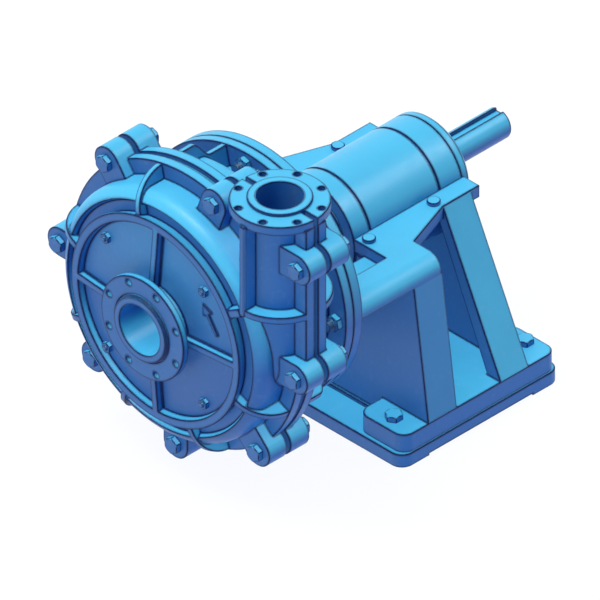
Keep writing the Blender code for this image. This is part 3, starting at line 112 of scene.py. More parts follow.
ARROW_HEIGHT = 0.003

# Suction branch
SUCTION_BORE_RADIUS = 0.050
SUCTION_FLANGE_RADIUS = 0.102
SUCTION_FLANGE_THICKNESS = 0.0135
SUCTION_NECK_RADIUS = 0.078
SUCTION_BOLT_CIRCLE = 0.08925
SUCTION_HOLE_RADIUS = 0.007
NOZZLE_RADIUS = 0.066
NOZZLE_FACE_RADIUS = 0.0625
NOZZLE_PROUD = 0.007
NOZZLE_GROOVES = 3

# Discharge branch
DISCHARGE_X = 0.2105
DISCHARGE_BORE_RADIUS = 0.0425
DISCHARGE_FLANGE_RADIUS = 0.090
DISCHARGE_FLANGE_THICKNESS = 0.0187
DISCHARGE_TOP_Z = 0.3197
DISCHARGE_BOLT_CIRCLE = 0.079
DISCHARGE_HOLE_RADIUS = 0.007
DISCHARGE_RING_RADIUS = 0.0587
DISCHARGE_RING_HEIGHT = 0.006
NECK_RADIUS = 0.0677
NECK_WALL = 0.012
NECK_STRIP_WIDTH = 0.181
NECK_RIB_WIDTH = 0.015
NECK_RIB_ROUND = 0.005
LEDGE_Z = 0.114
LEDGE_THICKNESS = 0.014
LEDGE_RADIUS = 0.094
NECK_BAR_ANGLE = 29.8
NECK_BAR_END = 0.238
NECK_BAR_WIDTH = 0.0165
FLANGE_HOLES = 8

# Wet end
LINER_WALL = 0.018
LINER_FLANGE_SETBACK = 0.006
BUSH_RADIUS = 0.150
BUSH_THICKNESS = 0.018
IMPELLER_RADIUS = 0.165
IMPELLER_RUNNING_GAP = 0.008
SHROUD_THICKNESS = 0.010
CHAMBER_ROUND = 0.016
EYE_RADIUS = 0.052
VANE_COUNT = 5
VANE_THICKNESS = 0.014
VANE_SWEEP = 95
HUB_RADIUS = 0.042
HUB_WALL = 0.012

# Frame plate and stuffing box
REAR_BARREL_RADIUS = 0.205
REAR_BARREL_WALL = 0.015
REAR_BARREL_LENGTH = 0.044
REAR_FLANGE_THICKNESS = 0.020
REAR_SHOULDER = 0.020
BOX_RADIUS = 0.070
BOX_BORE_RADIUS = 0.058
BOX_LENGTH = 0.101
BOX_COLLAR_RADIUS = 0.118
BOX_COLLAR_THICKNESS = 0.012
BOX_THROAT_LENGTH = 0.007
PACKING_WIDTH = 0.0157
GLAND_NOSE_LENGTH = 0.042
GLAND_FLANGE_THICKNESS = 0.014
GLAND_FLANGE_RADIUS = 0.062
GLAND_STUD_X = 0.098
GLAND_STUD_RADIUS = 0.008
GLAND_EAR_RADIUS = 0.020
GLAND_TRAVEL = 0.025
SLEEVE_RADIUS = 0.042
SLEEVE_LENGTH = 0.125

# Shaft
SHAFT_RADIUS = 0.030
SHAFT_END_Y = 0.8865
SHAFT_NOSE_RADIUS = 0.025
SHAFT_NOSE_LENGTH = 0.065
SHAFT_CHAMFER = 0.003
KEYWAY_WIDTH = 0.018
KEYWAY_DEPTH = 0.009
KEYWAY_LENGTH = 0.125

# Bearing assembly
HOUSING_RADIUS = 0.0992
HOUSING_FROM_SEAT = 0.150
HOUSING_LENGTH = 0.268
HOUSING_BORE_RADIUS = 0.0723
HOUSING_GROOVES = (0.040, 0.212)
GROOVE_WIDTH = 0.003
GROOVE_DEPTH = 0.0025
WET_COVER_LENGTH = 0.016
WET_COVER_PROUD = 0.002
DRIVE_COVER_LENGTH = 0.0222
DRIVE_COVER_CHAMFER = 0.008
DRIVE_COVER_SPIGOT = 0.010
COVER_SEAL_RADIUS = 0.0305

# Bearing frame
RING_RADIUS = 0.2475
RING_THICKNESS = 0.022
RING_BORE_RADIUS = 0.178
RING_STUD_CIRCLE = 0.225
RING_STUD_DEPTH = 0.017
PLATFORM_Z = 0.026
PLATFORM_THICKNESS = 0.026
ARM_OUTER_X = 0.2424
ARM_INNER_X = 0.175
ARM_ROUND = 0.030
ARM_BOTTOM_Z = -0.011
LEDGE_INNER_X = 0.122
ARM_LEDGE_TOP_Z = 0.0035
ARM_LEDGE_BOTTOM_Z = -0.022
PLATFORM_WIDE_LENGTH = 0.072
PLATFORM_WAIST_X = 0.136
PLATFORM_LENGTH = 0.273
WALL_WEB = 0.0225
LEG_DEPTH = 0.0715
LEG_WIDTH = 0.026
FRONT_WALL_FROM_SEAT = 0.1535
REAR_WALL_FROM_SEAT = 0.332
REAR_WALL_DEPTH = 0.070
REAR_TOP_X = 0.135
BASE_HALF_WIDTH = 0.279
BASE_TOP_Z = -0.280
BASE_UNDER_Z = -0.3185
BASE_FRONT_FROM_SEAT = 0.1545
BASE_LIP_REACH = 0.006
BASE_LIP_HEIGHT = 0.008
BASE_POCKET_DEPTH = 0.022
FOOT_INNER_X = 0.164
FOOT_REACH = 0.0625
FOOT_BACK_REACH = 0.070
FOOT_ROUND = 0.024
SADDLE_WALL = 0.015
CHIN_THICKNESS = 0.028

# Sole plate
SOLE_HALF_WIDTH = 0.2812
SOLE_OVERHANG = 0.007
SOLE_THICKNESS = 0.0225
SOLE_ROUND = 0.0257
SOLE_PAD_HEIGHT = 0.0055
SOLE_PAD_LENGTH = 0.068

# Fasteners
M20_RADIUS = 0.010
M20_FLATS = 0.030
M20_HEAD = 0.012
M20_NUT = 0.016
THREAD_PITCH = 0.0025
THREAD_DEPTH = 0.0011
STUD_TAIL = 0.010
FOOT_BOLT_X = 0.224
FOOT_BOLT_FROM_FRONT = 0.030
FOOT_BOLT_FROM_BACK = 0.026
CLAMP_CAP_RADIUS = 0.0125
CLAMP_CAP_HEIGHT = 0.008
CLAMP_BOLT_X = 0.1184
CLAMP_BOLT_RADIUS = 0.006
CLAMP_BOLT_INSET = (0.016, 0.176)
ADJUST_RADIUS = 0.008
ADJUST_FLATS = 0.024
ADJUST_NUT = 0.013
ADJUST_Z = -0.130
ADJUST_LUG_HALF_WIDTH = 0.018
ADJUST_LUG_THICKNESS = 0.016
ADJUST_BOSS_PROUD = 0.002

# Places that follow from the sizes
FRONT_FACE_Y = SPLIT_Y - SPLIT_SLOT / 2
REAR_FACE_Y = SPLIT_Y + SPLIT_SLOT / 2
COVER_INNER_Y = SPLIT_Y - CASING_INNER_WIDTH / 2
COVER_DISC_Y = COVER_INNER_Y - DISC_WALL
RIM_Y = COVER_DISC_Y - RIM_HEIGHT
RIM_GROOVE_Y = COVER_DISC_Y + RIM_GROOVE_DEPTH
PLATE_INNER_Y = SPLIT_Y + CASING_INNER_WIDTH / 2
PLATE_BACK_Y = PLATE_INNER_Y + CASING_WALL
REAR_FLANGE_Y = PLATE_BACK_Y + REAR_BARREL_LENGTH
SEAT_Y = REAR_FLANGE_Y + REAR_FLANGE_THICKNESS
CAVITY_RADIUS = CASING_RADIUS - CASING_WALL
LINER_RADIUS = CAVITY_RADIUS - GAP
CHAMBER_RADIUS = LINER_RADIUS - LINER_WALL
CHAMBER_FRONT_Y = COVER_INNER_Y + BUSH_THICKNESS
CHAMBER_BACK_Y = PLATE_INNER_Y - BUSH_THICKNESS
FRONT_LUG_Y = FRONT_FACE_Y - FRONT_LUG_LENGTH
REAR_LUG_Y = REAR_FACE_Y + REAR_LUG_LENGTH
NECK_STRIP_LEFT = DISCHARGE_X - NECK_STRIP_WIDTH / 2
NECK_STRIP_RIGHT = DISCHARGE_X + NECK_STRIP_WIDTH / 2
DISCHARGE_UNDER_Z = DISCHARGE_TOP_Z - DISCHARGE_FLANGE_THICKNESS
IMPELLER_FRONT_Y = CHAMBER_FRONT_Y + IMPELLER_RUNNING_GAP
IMPELLER_BACK_Y = CHAMBER_BACK_Y - IMPELLER_RUNNING_GAP
SLEEVE_START_Y = PLATE_INNER_Y + BOX_THROAT_LENGTH
BOX_START_Y = PLATE_INNER_Y + GAP
BOX_END_Y = BOX_START_Y + BOX_LENGTH
PACKING_START_Y = BOX_START_Y + BOX_THROAT_LENGTH + GAP
GLAND_START_Y = PACKING_START_Y + 4 * (PACKING_WIDTH + GAP)
GLAND_FLANGE_Y = GLAND_START_Y + GLAND_NOSE_LENGTH
GLAND_BACK_Y = GLAND_FLANGE_Y + GLAND_FLANGE_THICKNESS
RING_BACK_Y = SEAT_Y + RING_THICKNESS
HOUSING_START_Y = SEAT_Y + HOUSING_FROM_SEAT
HOUSING_END_Y = HOUSING_START_Y + HOUSING_LENGTH
DRIVE_COVER_Y = HOUSING_END_Y + GAP
DRIVE_COVER_END_Y = DRIVE_COVER_Y + DRIVE_COVER_LENGTH
PLATFORM_START_Y = HOUSING_START_Y
PLATFORM_END_Y = PLATFORM_START_Y + PLATFORM_LENGTH
FRONT_WALL_Y = SEAT_Y + FRONT_WALL_FROM_SEAT
REAR_WALL_Y = SEAT_Y + REAR_WALL_FROM_SEAT
REAR_WALL_BACK_Y = REAR_WALL_Y + REAR_WALL_DEPTH
BASE_FRONT_Y = SEAT_Y + BASE_FRONT_FROM_SEAT
BASE_BACK_Y = REAR_WALL_BACK_Y + 0.001
FOOT_FRONT_Y = BASE_FRONT_Y - FOOT_REACH
FOOT_BACK_Y = REAR_WALL_BACK_Y + FOOT_BACK_REACH
FOOT_BOLTS_Y = (FOOT_FRONT_Y + FOOT_BOLT_FROM_FRONT, FOOT_BACK_Y - FOOT_BOLT_FROM_BACK)
SOLE_TOP_Z = BASE_UNDER_Z - GAP
SOLE_UNDER_Z = SOLE_TOP_Z - SOLE_THICKNESS
GROUND_Z = SOLE_UNDER_Z - SOLE_PAD_HEIGHT
ADJUST_BOSS_Y = REAR_WALL_BACK_Y + ADJUST_BOSS_PROUD
ADJUST_LUG_Y = DRIVE_COVER_Y + 0.003
ADJUST_LUG_BACK_Y = ADJUST_LUG_Y + ADJUST_LUG_THICKNESS


def pump_origin():
    """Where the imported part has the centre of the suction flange's face."""
    low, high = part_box("bearing_housing")
    return Vector(((low.x + high.x) / 2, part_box("cover_plate")[0].y, (low.z + high.z) / 2))


ORIGIN = pump_origin()


# Outlines

def turned_place(angle, radius):
    """The X and Z of a point at an angle in degrees round the shaft, counted from +X."""
    turn = math.radians(angle)
    return radius * math.cos(turn), radius * math.sin(turn)


def arc(centre, radius, start, end, steps=ARC):
    points = []
    for step in range(steps + 1):
        turn = math.radians(start + (end - start) * step / steps)
        points.append((centre[0] + radius[0] * math.cos(turn), centre[1] + radius[1] * math.sin(turn)))
    return points


def circle(centre, radius, steps=HOLE):
    half_step = 180 / steps
    return arc(centre, (radius, radius), half_step, 360 + half_step, steps)[:-1]


def rectangle(left, low, right, high):
    return [(left, low), (right, low), (right, high), (left, high)]


def rounded_rectangle(left, low, right, high, radius):
    both = (radius, radius)
    points = arc((right - radius, high - radius), both, 0, 90)
    points += arc((left + radius, high - radius), both, 90, 180)
    points += arc((left + radius, low + radius), both, 180, 270)
    return points + arc((right - radius, low + radius), both, 270, 360)


def tongue(tip, radius, angle, length, steps=24):
    """A round end at tip with straight sides that run back along an angle."""
    points = arc(tip, (radius, radius), angle - 90, angle + 90, steps)
    turn = math.radians(angle)
    back = Vector((-math.cos(turn), -math.sin(turn))) * length
    points.append((points[-1][0] + back.x, points[-1][1] + back.y))
    points.append((points[0][0] + back.x, points[0][1] + back.y))
    return points


def stairs(start, steps):
    """A stepped profile, in which each step has a radius and the place where it ends."""
    profile = []
    for radius, end in steps:
        profile += [(start, radius), (end, radius)]
        start = end
    return profile


def mirrored(half):
    """An outline from its right half."""
    return half + [(-x, y) for x, y in reversed(half)]


def hexagon(centre, flats, turn=0):
    radius = flats / math.sqrt(3)
    return arc(centre, (radius, radius), 30 + turn, 330 + turn, 5)


def chamfered(outline, size, about_axis=False):
    """Cuts the corners of a closed outline, and says which of its sides are such cuts.

    about_axis leaves the corners that lie on the axis of a turned profile as they are.
    """
    points, marks = [], []
    for index, corner in enumerate(outline):
        here = Vector(corner)
        before = Vector(outline[index - 1]) - here
        after = Vector(outline[(index + 1) % len(outline)]) - here
        if before.length < 1e-7 or after.length < 1e-7:
            continue
        bend = 180 - math.degrees(before.angle(after))
        cut = min(size, 0.4 * before.length, 0.4 * after.length)
        if bend < CORNER_DEGREES or size <= 0 or (about_axis and abs(here.y) < 1e-9):
            points.append(here)
            marks.append(False)
        else:
            points += [here + before.normalized() * cut, here + after.normalized() * cut]
            marks += [True, False]
    return points, marks


def inset(points, amount):
    """Moves a closed outline inwards by an amount, with mitred corners."""
    count = len(points)
    area = sum(points[i - 1].x * points[i].y - points[i].x * points[i - 1].y for i in range(count))
    side = 1.0 if area > 0 else -1.0
    moved = []
    for index in range(count):
        ahead = (points[(index + 1) % count] - points[index]).normalized()
        behind = (points[index] - points[index - 1]).normalized()
        first = Vector((-behind.y, behind.x)) * side
        second = Vector((-ahead.y, ahead.x)) * side
        moved.append(points[index] + (first + second) / max(0.4, 1.0 + first.dot(second)) * amount)
    return moved


# Solids

SURFACE_SLOT, EDGE_SLOT = 0, 1
PLACEHOLDERS = [bpy.data.materials.new("surface"), bpy.data.materials.new("edge")]


def add_object(name, data):
    made = bpy.data.objects.new(name, data)
    bpy.context.scene.collection.objects.link(made)
    return made


def shape_from(bm):
    bmesh.ops.recalc_face_normals(bm, faces=bm.faces)
    mesh = bpy.data.meshes.new("shape")
    bm.to_mesh(mesh)
    bm.free()
    for material in PLACEHOLDERS:
        mesh.materials.append(material)
    return add_object("shape", mesh)


def turned(profile, steps=LARGE, place=(0.0, 0.0), axis="Y", edge=EDGE):
    """Turns a closed profile of (distance along the axis, radius) about an axis."""
    on_axis = [abs(radius) < 1e-9 for _, radius in profile]
    start = on_axis.index(True) if True in on_axis else 0
    profile = profile[start:] + profile[:start]
    points, marks = chamfered(profile, edge, True)
    bm = bmesh.new()
    rings = []
    for along, radius in points:
        count = 1 if radius < 1e-9 else steps
        ring = []
        for step in range(count):
            turn = math.tau * step / steps
            side, up = radius * math.cos(turn), radius * math.sin(turn)
            if axis == "Y":
                ring.append(bm.verts.new((place[0] + side, along, place[1] + up)))
            else:
                ring.append(bm.verts.new((place[0] + side, place[1] + up, along)))
        rings.append(ring)
    level = 1 if axis == "Y" else 2
    for first, second, mark in zip(rings, rings[1:] + rings[:1], marks):
        if len(first) == 1 and len(second) == 1:
            continue
        if abs(first[0].co[level] - second[0].co[level]) < 1e-9 and 1 in (len(first), len(second)):
            bm.faces.new(max(first, second, key=len))
            continue
        for step in range(steps):
            after = (step + 1) % steps
            corners = [first[step % len(first)], first[after % len(first)]]
            corners += [second[after % len(second)], second[step % len(second)]]
            face = bm.faces.new(list(dict.fromkeys(corners)))
            face.material_index = EDGE_SLOT if mark else SURFACE_SLOT
    loose = [vert for vert in bm.verts if not vert.link_faces]
    bmesh.ops.delete(bm, geom=loose, context="VERTS")
    return shape_from(bm)


def prism(outline, start, end, axis="Y", edge=EDGE):
    """Extrudes a flat outline along an axis, from start to end, with cut edges."""
    spots = {
        "X": lambda point, along: (along, point.x, point.y),
        "Y": lambda point, along: (point.x, along, point.y),
        "Z": lambda point, along: (point.x, point.y, along),
    }[axis]
    start, end = min(start, end), max(start, end)
    points, marks = chamfered(outline, edge)
    levels = [(points, start), (points, end)]
    if edge > 0:
        small = inset(points, edge)
        levels = [(small, start), (points, start + edge), (points, end - edge), (small, end)]
    bm = bmesh.new()
    rings = [[bm.verts.new(spots(point, along)) for point in ring] for ring, along in levels]
    bm.faces.new(rings[0])
    bm.faces.new(rings[-1])
    middle = len(rings) // 2 - 1
    for number, (low, high) in enumerate(zip(rings, rings[1:])):
        for index in range(len(points)):
            after = (index + 1) % len(points)
            face = bm.faces.new([low[index], low[after], high[after], high[index]])
            if marks[index] or number != middle:
                face.material_index = EDGE_SLOT
    return shape_from(bm)


def rod(radius, start, end, place=(0.0, 0.0), axis="Y", steps=HOLE, edge=0.0):
    return prism(circle(place, radius, steps), start, end, axis, edge)


def hole(radius, start, end, place=(0.0, 0.0), axis="Y", steps=HOLE):
    """A cutter for a bolt of a radius, which runs past both faces of what it goes through."""
    return rod(radius + GAP, start - RUN_PAST, end + RUN_PAST, place, axis, steps)


def drum(radius, start, end, steps=LARGE):
    return turned([(start, 0.0), (start, radius), (end, radius), (end, 0.0)], steps, edge=0.0)


def block(left, right, front, back, low, high, edge=EDGE):
    return prism(rectangle(left, front, right, back), low, high, "Z", edge)


def cutting_block(left, right, front, back, low, high):
    return block(left, right, front, back, low, high, 0.0)


def ring_shape(inner, outer, start, end, steps=MIDDLE, edge=EDGE):
    return turned([(start, inner), (start, outer), (end, outer), (end, inner)], steps, edge=edge)


def combine(body, tools, operation):
    """Applies one Boolean for each tool, and removes the tools."""
    for tool in tools:
        step = body.modifiers.new(operation.title(), "BOOLEAN")
        step.operation = operation
        step.object = tool
        step.solver = "EXACT"
    graph = bpy.context.evaluated_depsgraph_get()
    mesh = bpy.data.meshes.new_from_object(body.evaluated_get(graph))
    body.modifiers.clear()
    body.data = mesh
    for tool in tools:
        bpy.data.objects.remove(tool, do_unlink=True)
    return body


def fuse(body, *tools):
    return combine(body, tools, "UNION")


def carve(body, *tools):
    return combine(body, tools, "DIFFERENCE")


def keep_within(body, *tools):
    return combine(body, tools, "INTERSECT")


def spin_about_shaft(body, angle):
    body.data.transform(Matrix.Rotation(-math.radians(angle), 4, "Y"))
    return body


def clean_mesh(body, drop_slivers=False):
    """Joins doubled points, drops slivers where that is asked, and sets how the mesh is shaded."""
    bm = bmesh.new()
    bm.from_mesh(body.data)
    bmesh.ops.remove_doubles(bm, verts=bm.verts, dist=WELD)
    if drop_slivers:
        bmesh.ops.dissolve_degenerate(bm, edges=bm.edges, dist=WELD)
    bm.to_mesh(body.data)
    bm.free()
    body.data.shade_smooth()
    body.data.set_sharp_from_angle(angle=math.radians(SMOOTH_DEGREES))


def settle(body, name, stands_for, materials, rides_on="pump_frame"):
    """Cleans a finished mesh, dresses it, and gives it its place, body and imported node."""
    clean_mesh(body, True)
    body.data.name = name
    return place_copy(body, name, materials, rides_on, stands_for)


def place_copy(body, name, materials, rides_on, stands_for=None, at=(0.0, 0.0, 0.0)):
    body.name = name
    while len(body.data.materials) < 2:
        body.data.materials.append(None)
    body.data.materials[SURFACE_SLOT] = materials[0]
    body.data.materials[EDGE_SLOT] = materials[1]
    body.location = ORIGIN + Vector(at)
    shading = body.modifiers.new("Even normals", "WEIGHTED_NORMAL")
    shading.keep_sharp = True
    shading.weight = 100
    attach(body, rides_on)
    if stands_for:
        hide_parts(stands_for)
    return body


def copies(first, names, places, rides_on, stand=True):
    """Repeats one fastener's mesh at several places, each copy standing for its own node."""
    clean_mesh(first)
    for name, at in zip(names, places):
        piece = add_object(name, first.data)
        place_copy(piece, name, BOLTING, rides_on, name if stand else None, at)
    bpy.data.objects.remove(first, do_unlink=True)


def numbered(word, count=4):
    return [f"{word}_{number}" for number in range(1, count + 1)]


# Materials

# NAVY is the colour of the painted shade in corners and creases, and of the dark line along cut edges.
NAVY = (0.0035, 0.014, 0.075)
CREASE_START, CREASE_FULL = 0.997, 0.977


def node(tree, kind, place, **settings):
    made = tree.nodes.new(kind)
    made.location = place
    for key, value in settings.items():
        setattr(made, key, value)
    return made


def new_material(name):
    material = bpy.data.materials.new(name)
    material.use_nodes = True
    return material, material.node_tree, material.node_tree.nodes["Principled BSDF"]


def scaled_noise(tree, coordinates, scale, detail, place):
    noise = node(tree, "ShaderNodeTexNoise", place)
    noise.inputs["Scale"].default_value = scale
    noise.inputs["Detail"].default_value = detail
    tree.links.new(coordinates, noise.inputs["Vector"])
    return noise.outputs["Fac"]


def spread(tree, value, low, high, new_low, new_high, place):
    """Maps a value's range from low..high to new_low..new_high, held within it."""
    step = node(tree, "ShaderNodeMapRange", place)
    for key, number in zip(("From Min", "From Max", "To Min", "To Max"), (low, high, new_low, new_high)):
        step.inputs[key].default_value = number
    tree.links.new(value, step.inputs["Value"])
    return step.outputs["Result"]


def blend_colours(tree, amount, first, second, place):
    mix = node(tree, "ShaderNodeMix", place, data_type="RGBA")
    tree.links.new(amount, mix.inputs["Factor"])
    for socket, colour in ((mix.inputs[6], first), (mix.inputs[7], second)):
        if isinstance(colour, tuple):
            socket.default_value = (*colour, 1.0)
        else:
            tree.links.new(colour, socket)
    return mix.outputs[2]


def crease_shade_mask(tree, radius):
    """Where painted shade goes: 1 beside a sharp edge or in a corner, 0 on open surface."""
    bevel = node(tree, "ShaderNodeBevel", (-900, -300), samples=6)
    bevel.inputs["Radius"].default_value = radius
    geometry = node(tree, "ShaderNodeNewGeometry", (-900, -500))
    dot = node(tree, "ShaderNodeVectorMath", (-700, -400), operation="DOT_PRODUCT")
    tree.links.new(bevel.outputs["Normal"], dot.inputs[0])
    tree.links.new(geometry.outputs["Normal"], dot.inputs[1])
    return spread(tree, dot.outputs["Value"], CREASE_START, CREASE_FULL, 0.0, 1.0, (-500, -400))


def coated(name, front, side, top, roughness, grain, wear=0.06, crease=0.0064):
    """Blue coat over iron, with light and shade painted in: painted shade makes it deeper on upright faces,
    painted light makes it paler where it looks up, and painted shade makes it dark in its corners.

    grain is the height of the casting's skin under the coat, in metres.
    """
    material, tree, shader = new_material(name)
    shader.inputs["Specular IOR Level"].default_value = 0.30
    coordinates = node(tree, "ShaderNodeTexCoord", (-1300, 0)).outputs["Object"]
    broad = scaled_noise(tree, coordinates, 9.0, 3.0, (-1100, 300))
    fine = scaled_noise(tree, coordinates, 70.0, 5.0, (-1100, 100))
    skin = scaled_noise(tree, coordinates, 420.0, 4.0, (-1100, -100))
    # Painted light and shade by facing: the colour follows the surface's normal, deeper blue on faces turned
    # sideways and paler blue on faces that look up.
    geometry = node(tree, "ShaderNodeNewGeometry", (-1100, 500))
    split = node(tree, "ShaderNodeSeparateXYZ", (-900, 500))
    tree.links.new(geometry.outputs["Normal"], split.inputs["Vector"])
    sideways = node(tree, "ShaderNodeMath", (-800, 650), operation="ABSOLUTE")
    tree.links.new(split.outputs["X"], sideways.inputs[0])
    painted_side_shade = spread(tree, sideways.outputs[0], 0.25, 0.90, 0.0, 1.0, (-700, 650))
    painted_top_light = spread(tree, split.outputs["Z"], -0.02, 0.48, 0.0, 1.0, (-700, 500))
    colour = blend_colours(tree, painted_side_shade, front, side, (-600, 600))
    colour = blend_colours(tree, painted_top_light, colour, top, (-500, 400))
    mottled = spread(tree, broad, 0.35, 0.65, 0.0, wear, (-700, 250))
    deep = tuple(0.62 * part for part in side)
    colour = blend_colours(tree, mottled, colour, deep, (-300, 350))
    dusty = spread(tree, fine, 0.55, 0.75, 0.0, 0.6 * wear, (-700, 100))
    pale = tuple(0.5 * part + 0.45 for part in top)
    colour = blend_colours(tree, dusty, colour, pale, (-150, 300))
    # Painted shade: navy in corners and creases, and a dark line along sharp edges.
    colour = blend_colours(tree, crease_shade_mask(tree, crease), colour, NAVY, (0, 250))
    tree.links.new(colour, shader.inputs["Base Color"])
    tree.links.new(spread(tree, fine, 0.3, 0.7, roughness - 0.06, roughness + 0.08, (-300, 0)),
                   shader.inputs["Roughness"])
    bump = node(tree, "ShaderNodeBump", (-150, -150))
    bump.inputs["Distance"].default_value = grain
    bump.inputs["Strength"].default_value = 0.6
    tree.links.new(skin, bump.inputs["Height"])
    tree.links.new(bump.outputs["Normal"], shader.inputs["Normal"])
    return material


def edge_paint():
    """The dark line of bare primer along cut edges."""
    material, tree, shader = new_material("edge_line")
    coordinates = node(tree, "ShaderNodeTexCoord", (-900, 0)).outputs["Object"]
    patches = spread(tree, scaled_noise(tree, coordinates, 60.0, 3.0, (-700, 0)), 0.4, 0.7, 0.0, 1.0,
                     (-500, 0))
    colour = blend_colours(tree, patches, NAVY, tuple(1.8 * part for part in NAVY), (-300, 0))
    tree.links.new(colour, shader.inputs["Base Color"])
    tree.links.new(spread(tree, patches, 0.0, 1.0, 0.50, 0.65, (-300, -200)), shader.inputs["Roughness"])
    shader.inputs["Specular IOR Level"].default_value = 0.08
    return material


def plain_surface(name, colour, second, roughness, metallic, scale):
    """A bare surface whose colour and gloss vary a little."""
    material, tree, shader = new_material(name)
    shader.inputs["Metallic"].default_value = metallic
    coordinates = node(tree, "ShaderNodeTexCoord", (-900, 0)).outputs["Object"]
    grain = scaled_noise(tree, coordinates, scale, 4.0, (-700, 0))
    tree.links.new(blend_colours(tree, grain, colour, second, (-300, 100)), shader.inputs["Base Color"])
    tree.links.new(spread(tree, grain, 0.3, 0.7, roughness - 0.05, roughness + 0.07, (-300, -100)),
                   shader.inputs["Roughness"])
    return material


# Lit and shaded copies of one blue paint: the front and side blues are painted shade, the top blue is painted
# light.
FRONT_SHADED_BLUE = (0.028, 0.108, 0.330)
SIDE_SHADED_BLUE = (0.010, 0.118, 0.455)
TOP_LIT_BLUE = (0.062, 0.440, 0.700)
LIT_AND_SHADED_BLUES = (FRONT_SHADED_BLUE, SIDE_SHADED_BLUE, TOP_LIT_BLUE)
CAST = coated("cast_iron_coat", *LIT_AND_SHADED_BLUES, 0.42, 0.00035)
MACHINED = coated("machined_coat", *LIT_AND_SHADED_BLUES, 0.34, 0.00010, wear=0.04)
FASTENER = coated("fastener_coat", *LIT_AND_SHADED_BLUES, 0.32, 0.00008, wear=0.06, crease=0.0036)
LINE = edge_paint()
CASTING = (CAST, LINE)
BARREL = (MACHINED, LINE)
BOLTING = (FASTENER, LINE)
STEEL = plain_surface("bearing_steel", (0.50, 0.52, 0.54), (0.42, 0.44, 0.46), 0.24, 1.0, 120.0)
BRONZE = plain_surface("bronze", (0.52, 0.33, 0.13), (0.40, 0.24, 0.09), 0.36, 0.9, 90.0)
FIBRE = plain_surface("packing_fibre", (0.10, 0.09, 0.08), (0.05, 0.05, 0.045), 0.85, 0.0, 300.0)


# Casing shapes

def branch_shape(radius, top, collar=None, edge=0.0):
    """The discharge branch as a solid: a dome below the shaft's level, and a pipe up to top."""
    profile = [(-radius * math.cos(math.radians(turn)), radius * math.sin(math.radians(turn)))
               for turn in range(0, 90, 6)]
    profile += [(0.0, radius)]
    if collar:
        profile += [(collar[1], radius), (collar[1], collar[0]), (top, collar[0])]
    else:
        profile += [(top, radius)]
    profile += [(top, 0.0)]
    return turned(profile, MIDDLE, (DISCHARGE_X, SPLIT_Y), "Z", edge)


def parting_plate(start, end, margin):
    """The flat flange at the casing's joint, with the strip that runs up beside the neck."""
    round_part = rod(PARTING_RADIUS - margin, start, end, steps=LARGE, edge=EDGE)
    top = DISCHARGE_UNDER_Z + (SINK if margin == 0 else -GAP)
    strip = block(NECK_STRIP_LEFT + margin, NECK_STRIP_RIGHT - margin, start, end, 0.0, top)
    return fuse(round_part, strip)


def lug_outlines():
    """The place of each casing bolt with the outline of its lug, in X and Z."""
    outlines = []
    reach = CAVITY_RADIUS + LUG_ROOT_SETBACK
    for angle in LUG_ANGLES:
        place = turned_place(angle, LUG_CIRCLE)
        outlines.append((place, tongue(place, LUG_RADIUS, angle, LUG_CIRCLE - reach)))
    outlines.append((SIDE_LUG, tongue(SIDE_LUG, LUG_RADIUS, 0, SIDE_LUG[0] - reach)))
    outlines.append((NECK_LUG, tongue(NECK_LUG, LUG_RADIUS, 0, NECK_LUG[0] - NECK_LUG_ROOT_X)))
    return outlines


def flange_holes(centre, circle_radius, hole_radius, start, end, axis):
    holes = []
    for index in range(FLANGE_HOLES):
        turn = math.tau * (index + 0.5) / FLANGE_HOLES
        spot = (centre[0] + circle_radius * math.cos(turn), centre[1] + circle_radius * math.sin(turn))
        holes.append(rod(hole_radius, start, end, spot, axis))
    return holes


def rounded_drum(front, back, radius, corner):
    """The profile of a drum with rounded rims."""
    profile = [(front, 0.0)]
    profile += arc((front + corner, radius - corner), (-corner, corner), 0, 90)
    profile += arc((back - corner, radius - corner), (corner, corner), 90, 0)
    return profile + [(back, 0.0)]


def lug_bolt_holes(start, end):
    return [rod(M20_RADIUS + 2 * GAP, start - RUN_PAST, end + RUN_PAST, place) for place, _ in lug_outlines()]


def discharge_holes():
    return flange_holes((DISCHARGE_X, SPLIT_Y), DISCHARGE_BOLT_CIRCLE, DISCHARGE_HOLE_RADIUS,
                        DISCHARGE_UNDER_Z - 0.002, DISCHARGE_TOP_Z + RUN_PAST, "Z")


def ring_stud_places():
    return [turned_place(angle, RING_STUD_CIRCLE) for angle in QUARTERS]


def casing_cavity():
    """The space inside both casing halves, where the liners go."""
    profile = rounded_drum(COVER_INNER_Y, PLATE_INNER_Y, CAVITY_RADIUS, CAVITY_ROUND)
    cavity = turned(profile, LARGE, edge=0.0)
    return fuse(cavity, branch_shape(NECK_RADIUS - NECK_WALL, DISCHARGE_TOP_Z + 0.02))


def casing_branch(side):
    """The discharge neck and flange on the cover's side (-1) or the frame's (+1) of the joint."""
    branch = branch_shape(NECK_RADIUS, DISCHARGE_TOP_Z, (DISCHARGE_FLANGE_RADIUS, DISCHARGE_UNDER_Z), EDGE)
    joint = SPLIT_Y + side * SPLIT_SLOT / 2
    far = joint - side * 2 * DISCHARGE_FLANGE_RADIUS
    reach = 2 * DISCHARGE_FLANGE_RADIUS
    half = cutting_block(DISCHARGE_X - reach, DISCHARGE_X + reach, min(joint, far), max(joint, far),
                         -0.2, DISCHARGE_TOP_Z + 0.1)
    return carve(branch, half)


def edge_rib(angle, outline):
    """A rib in a plane through the shaft's axis; its outline is in distance along it and radius."""
    rib = prism(outline, -RIB_THICKNESS / 2, RIB_THICKNESS / 2, "X")
    return spin_about_shaft(rib, angle - 90)


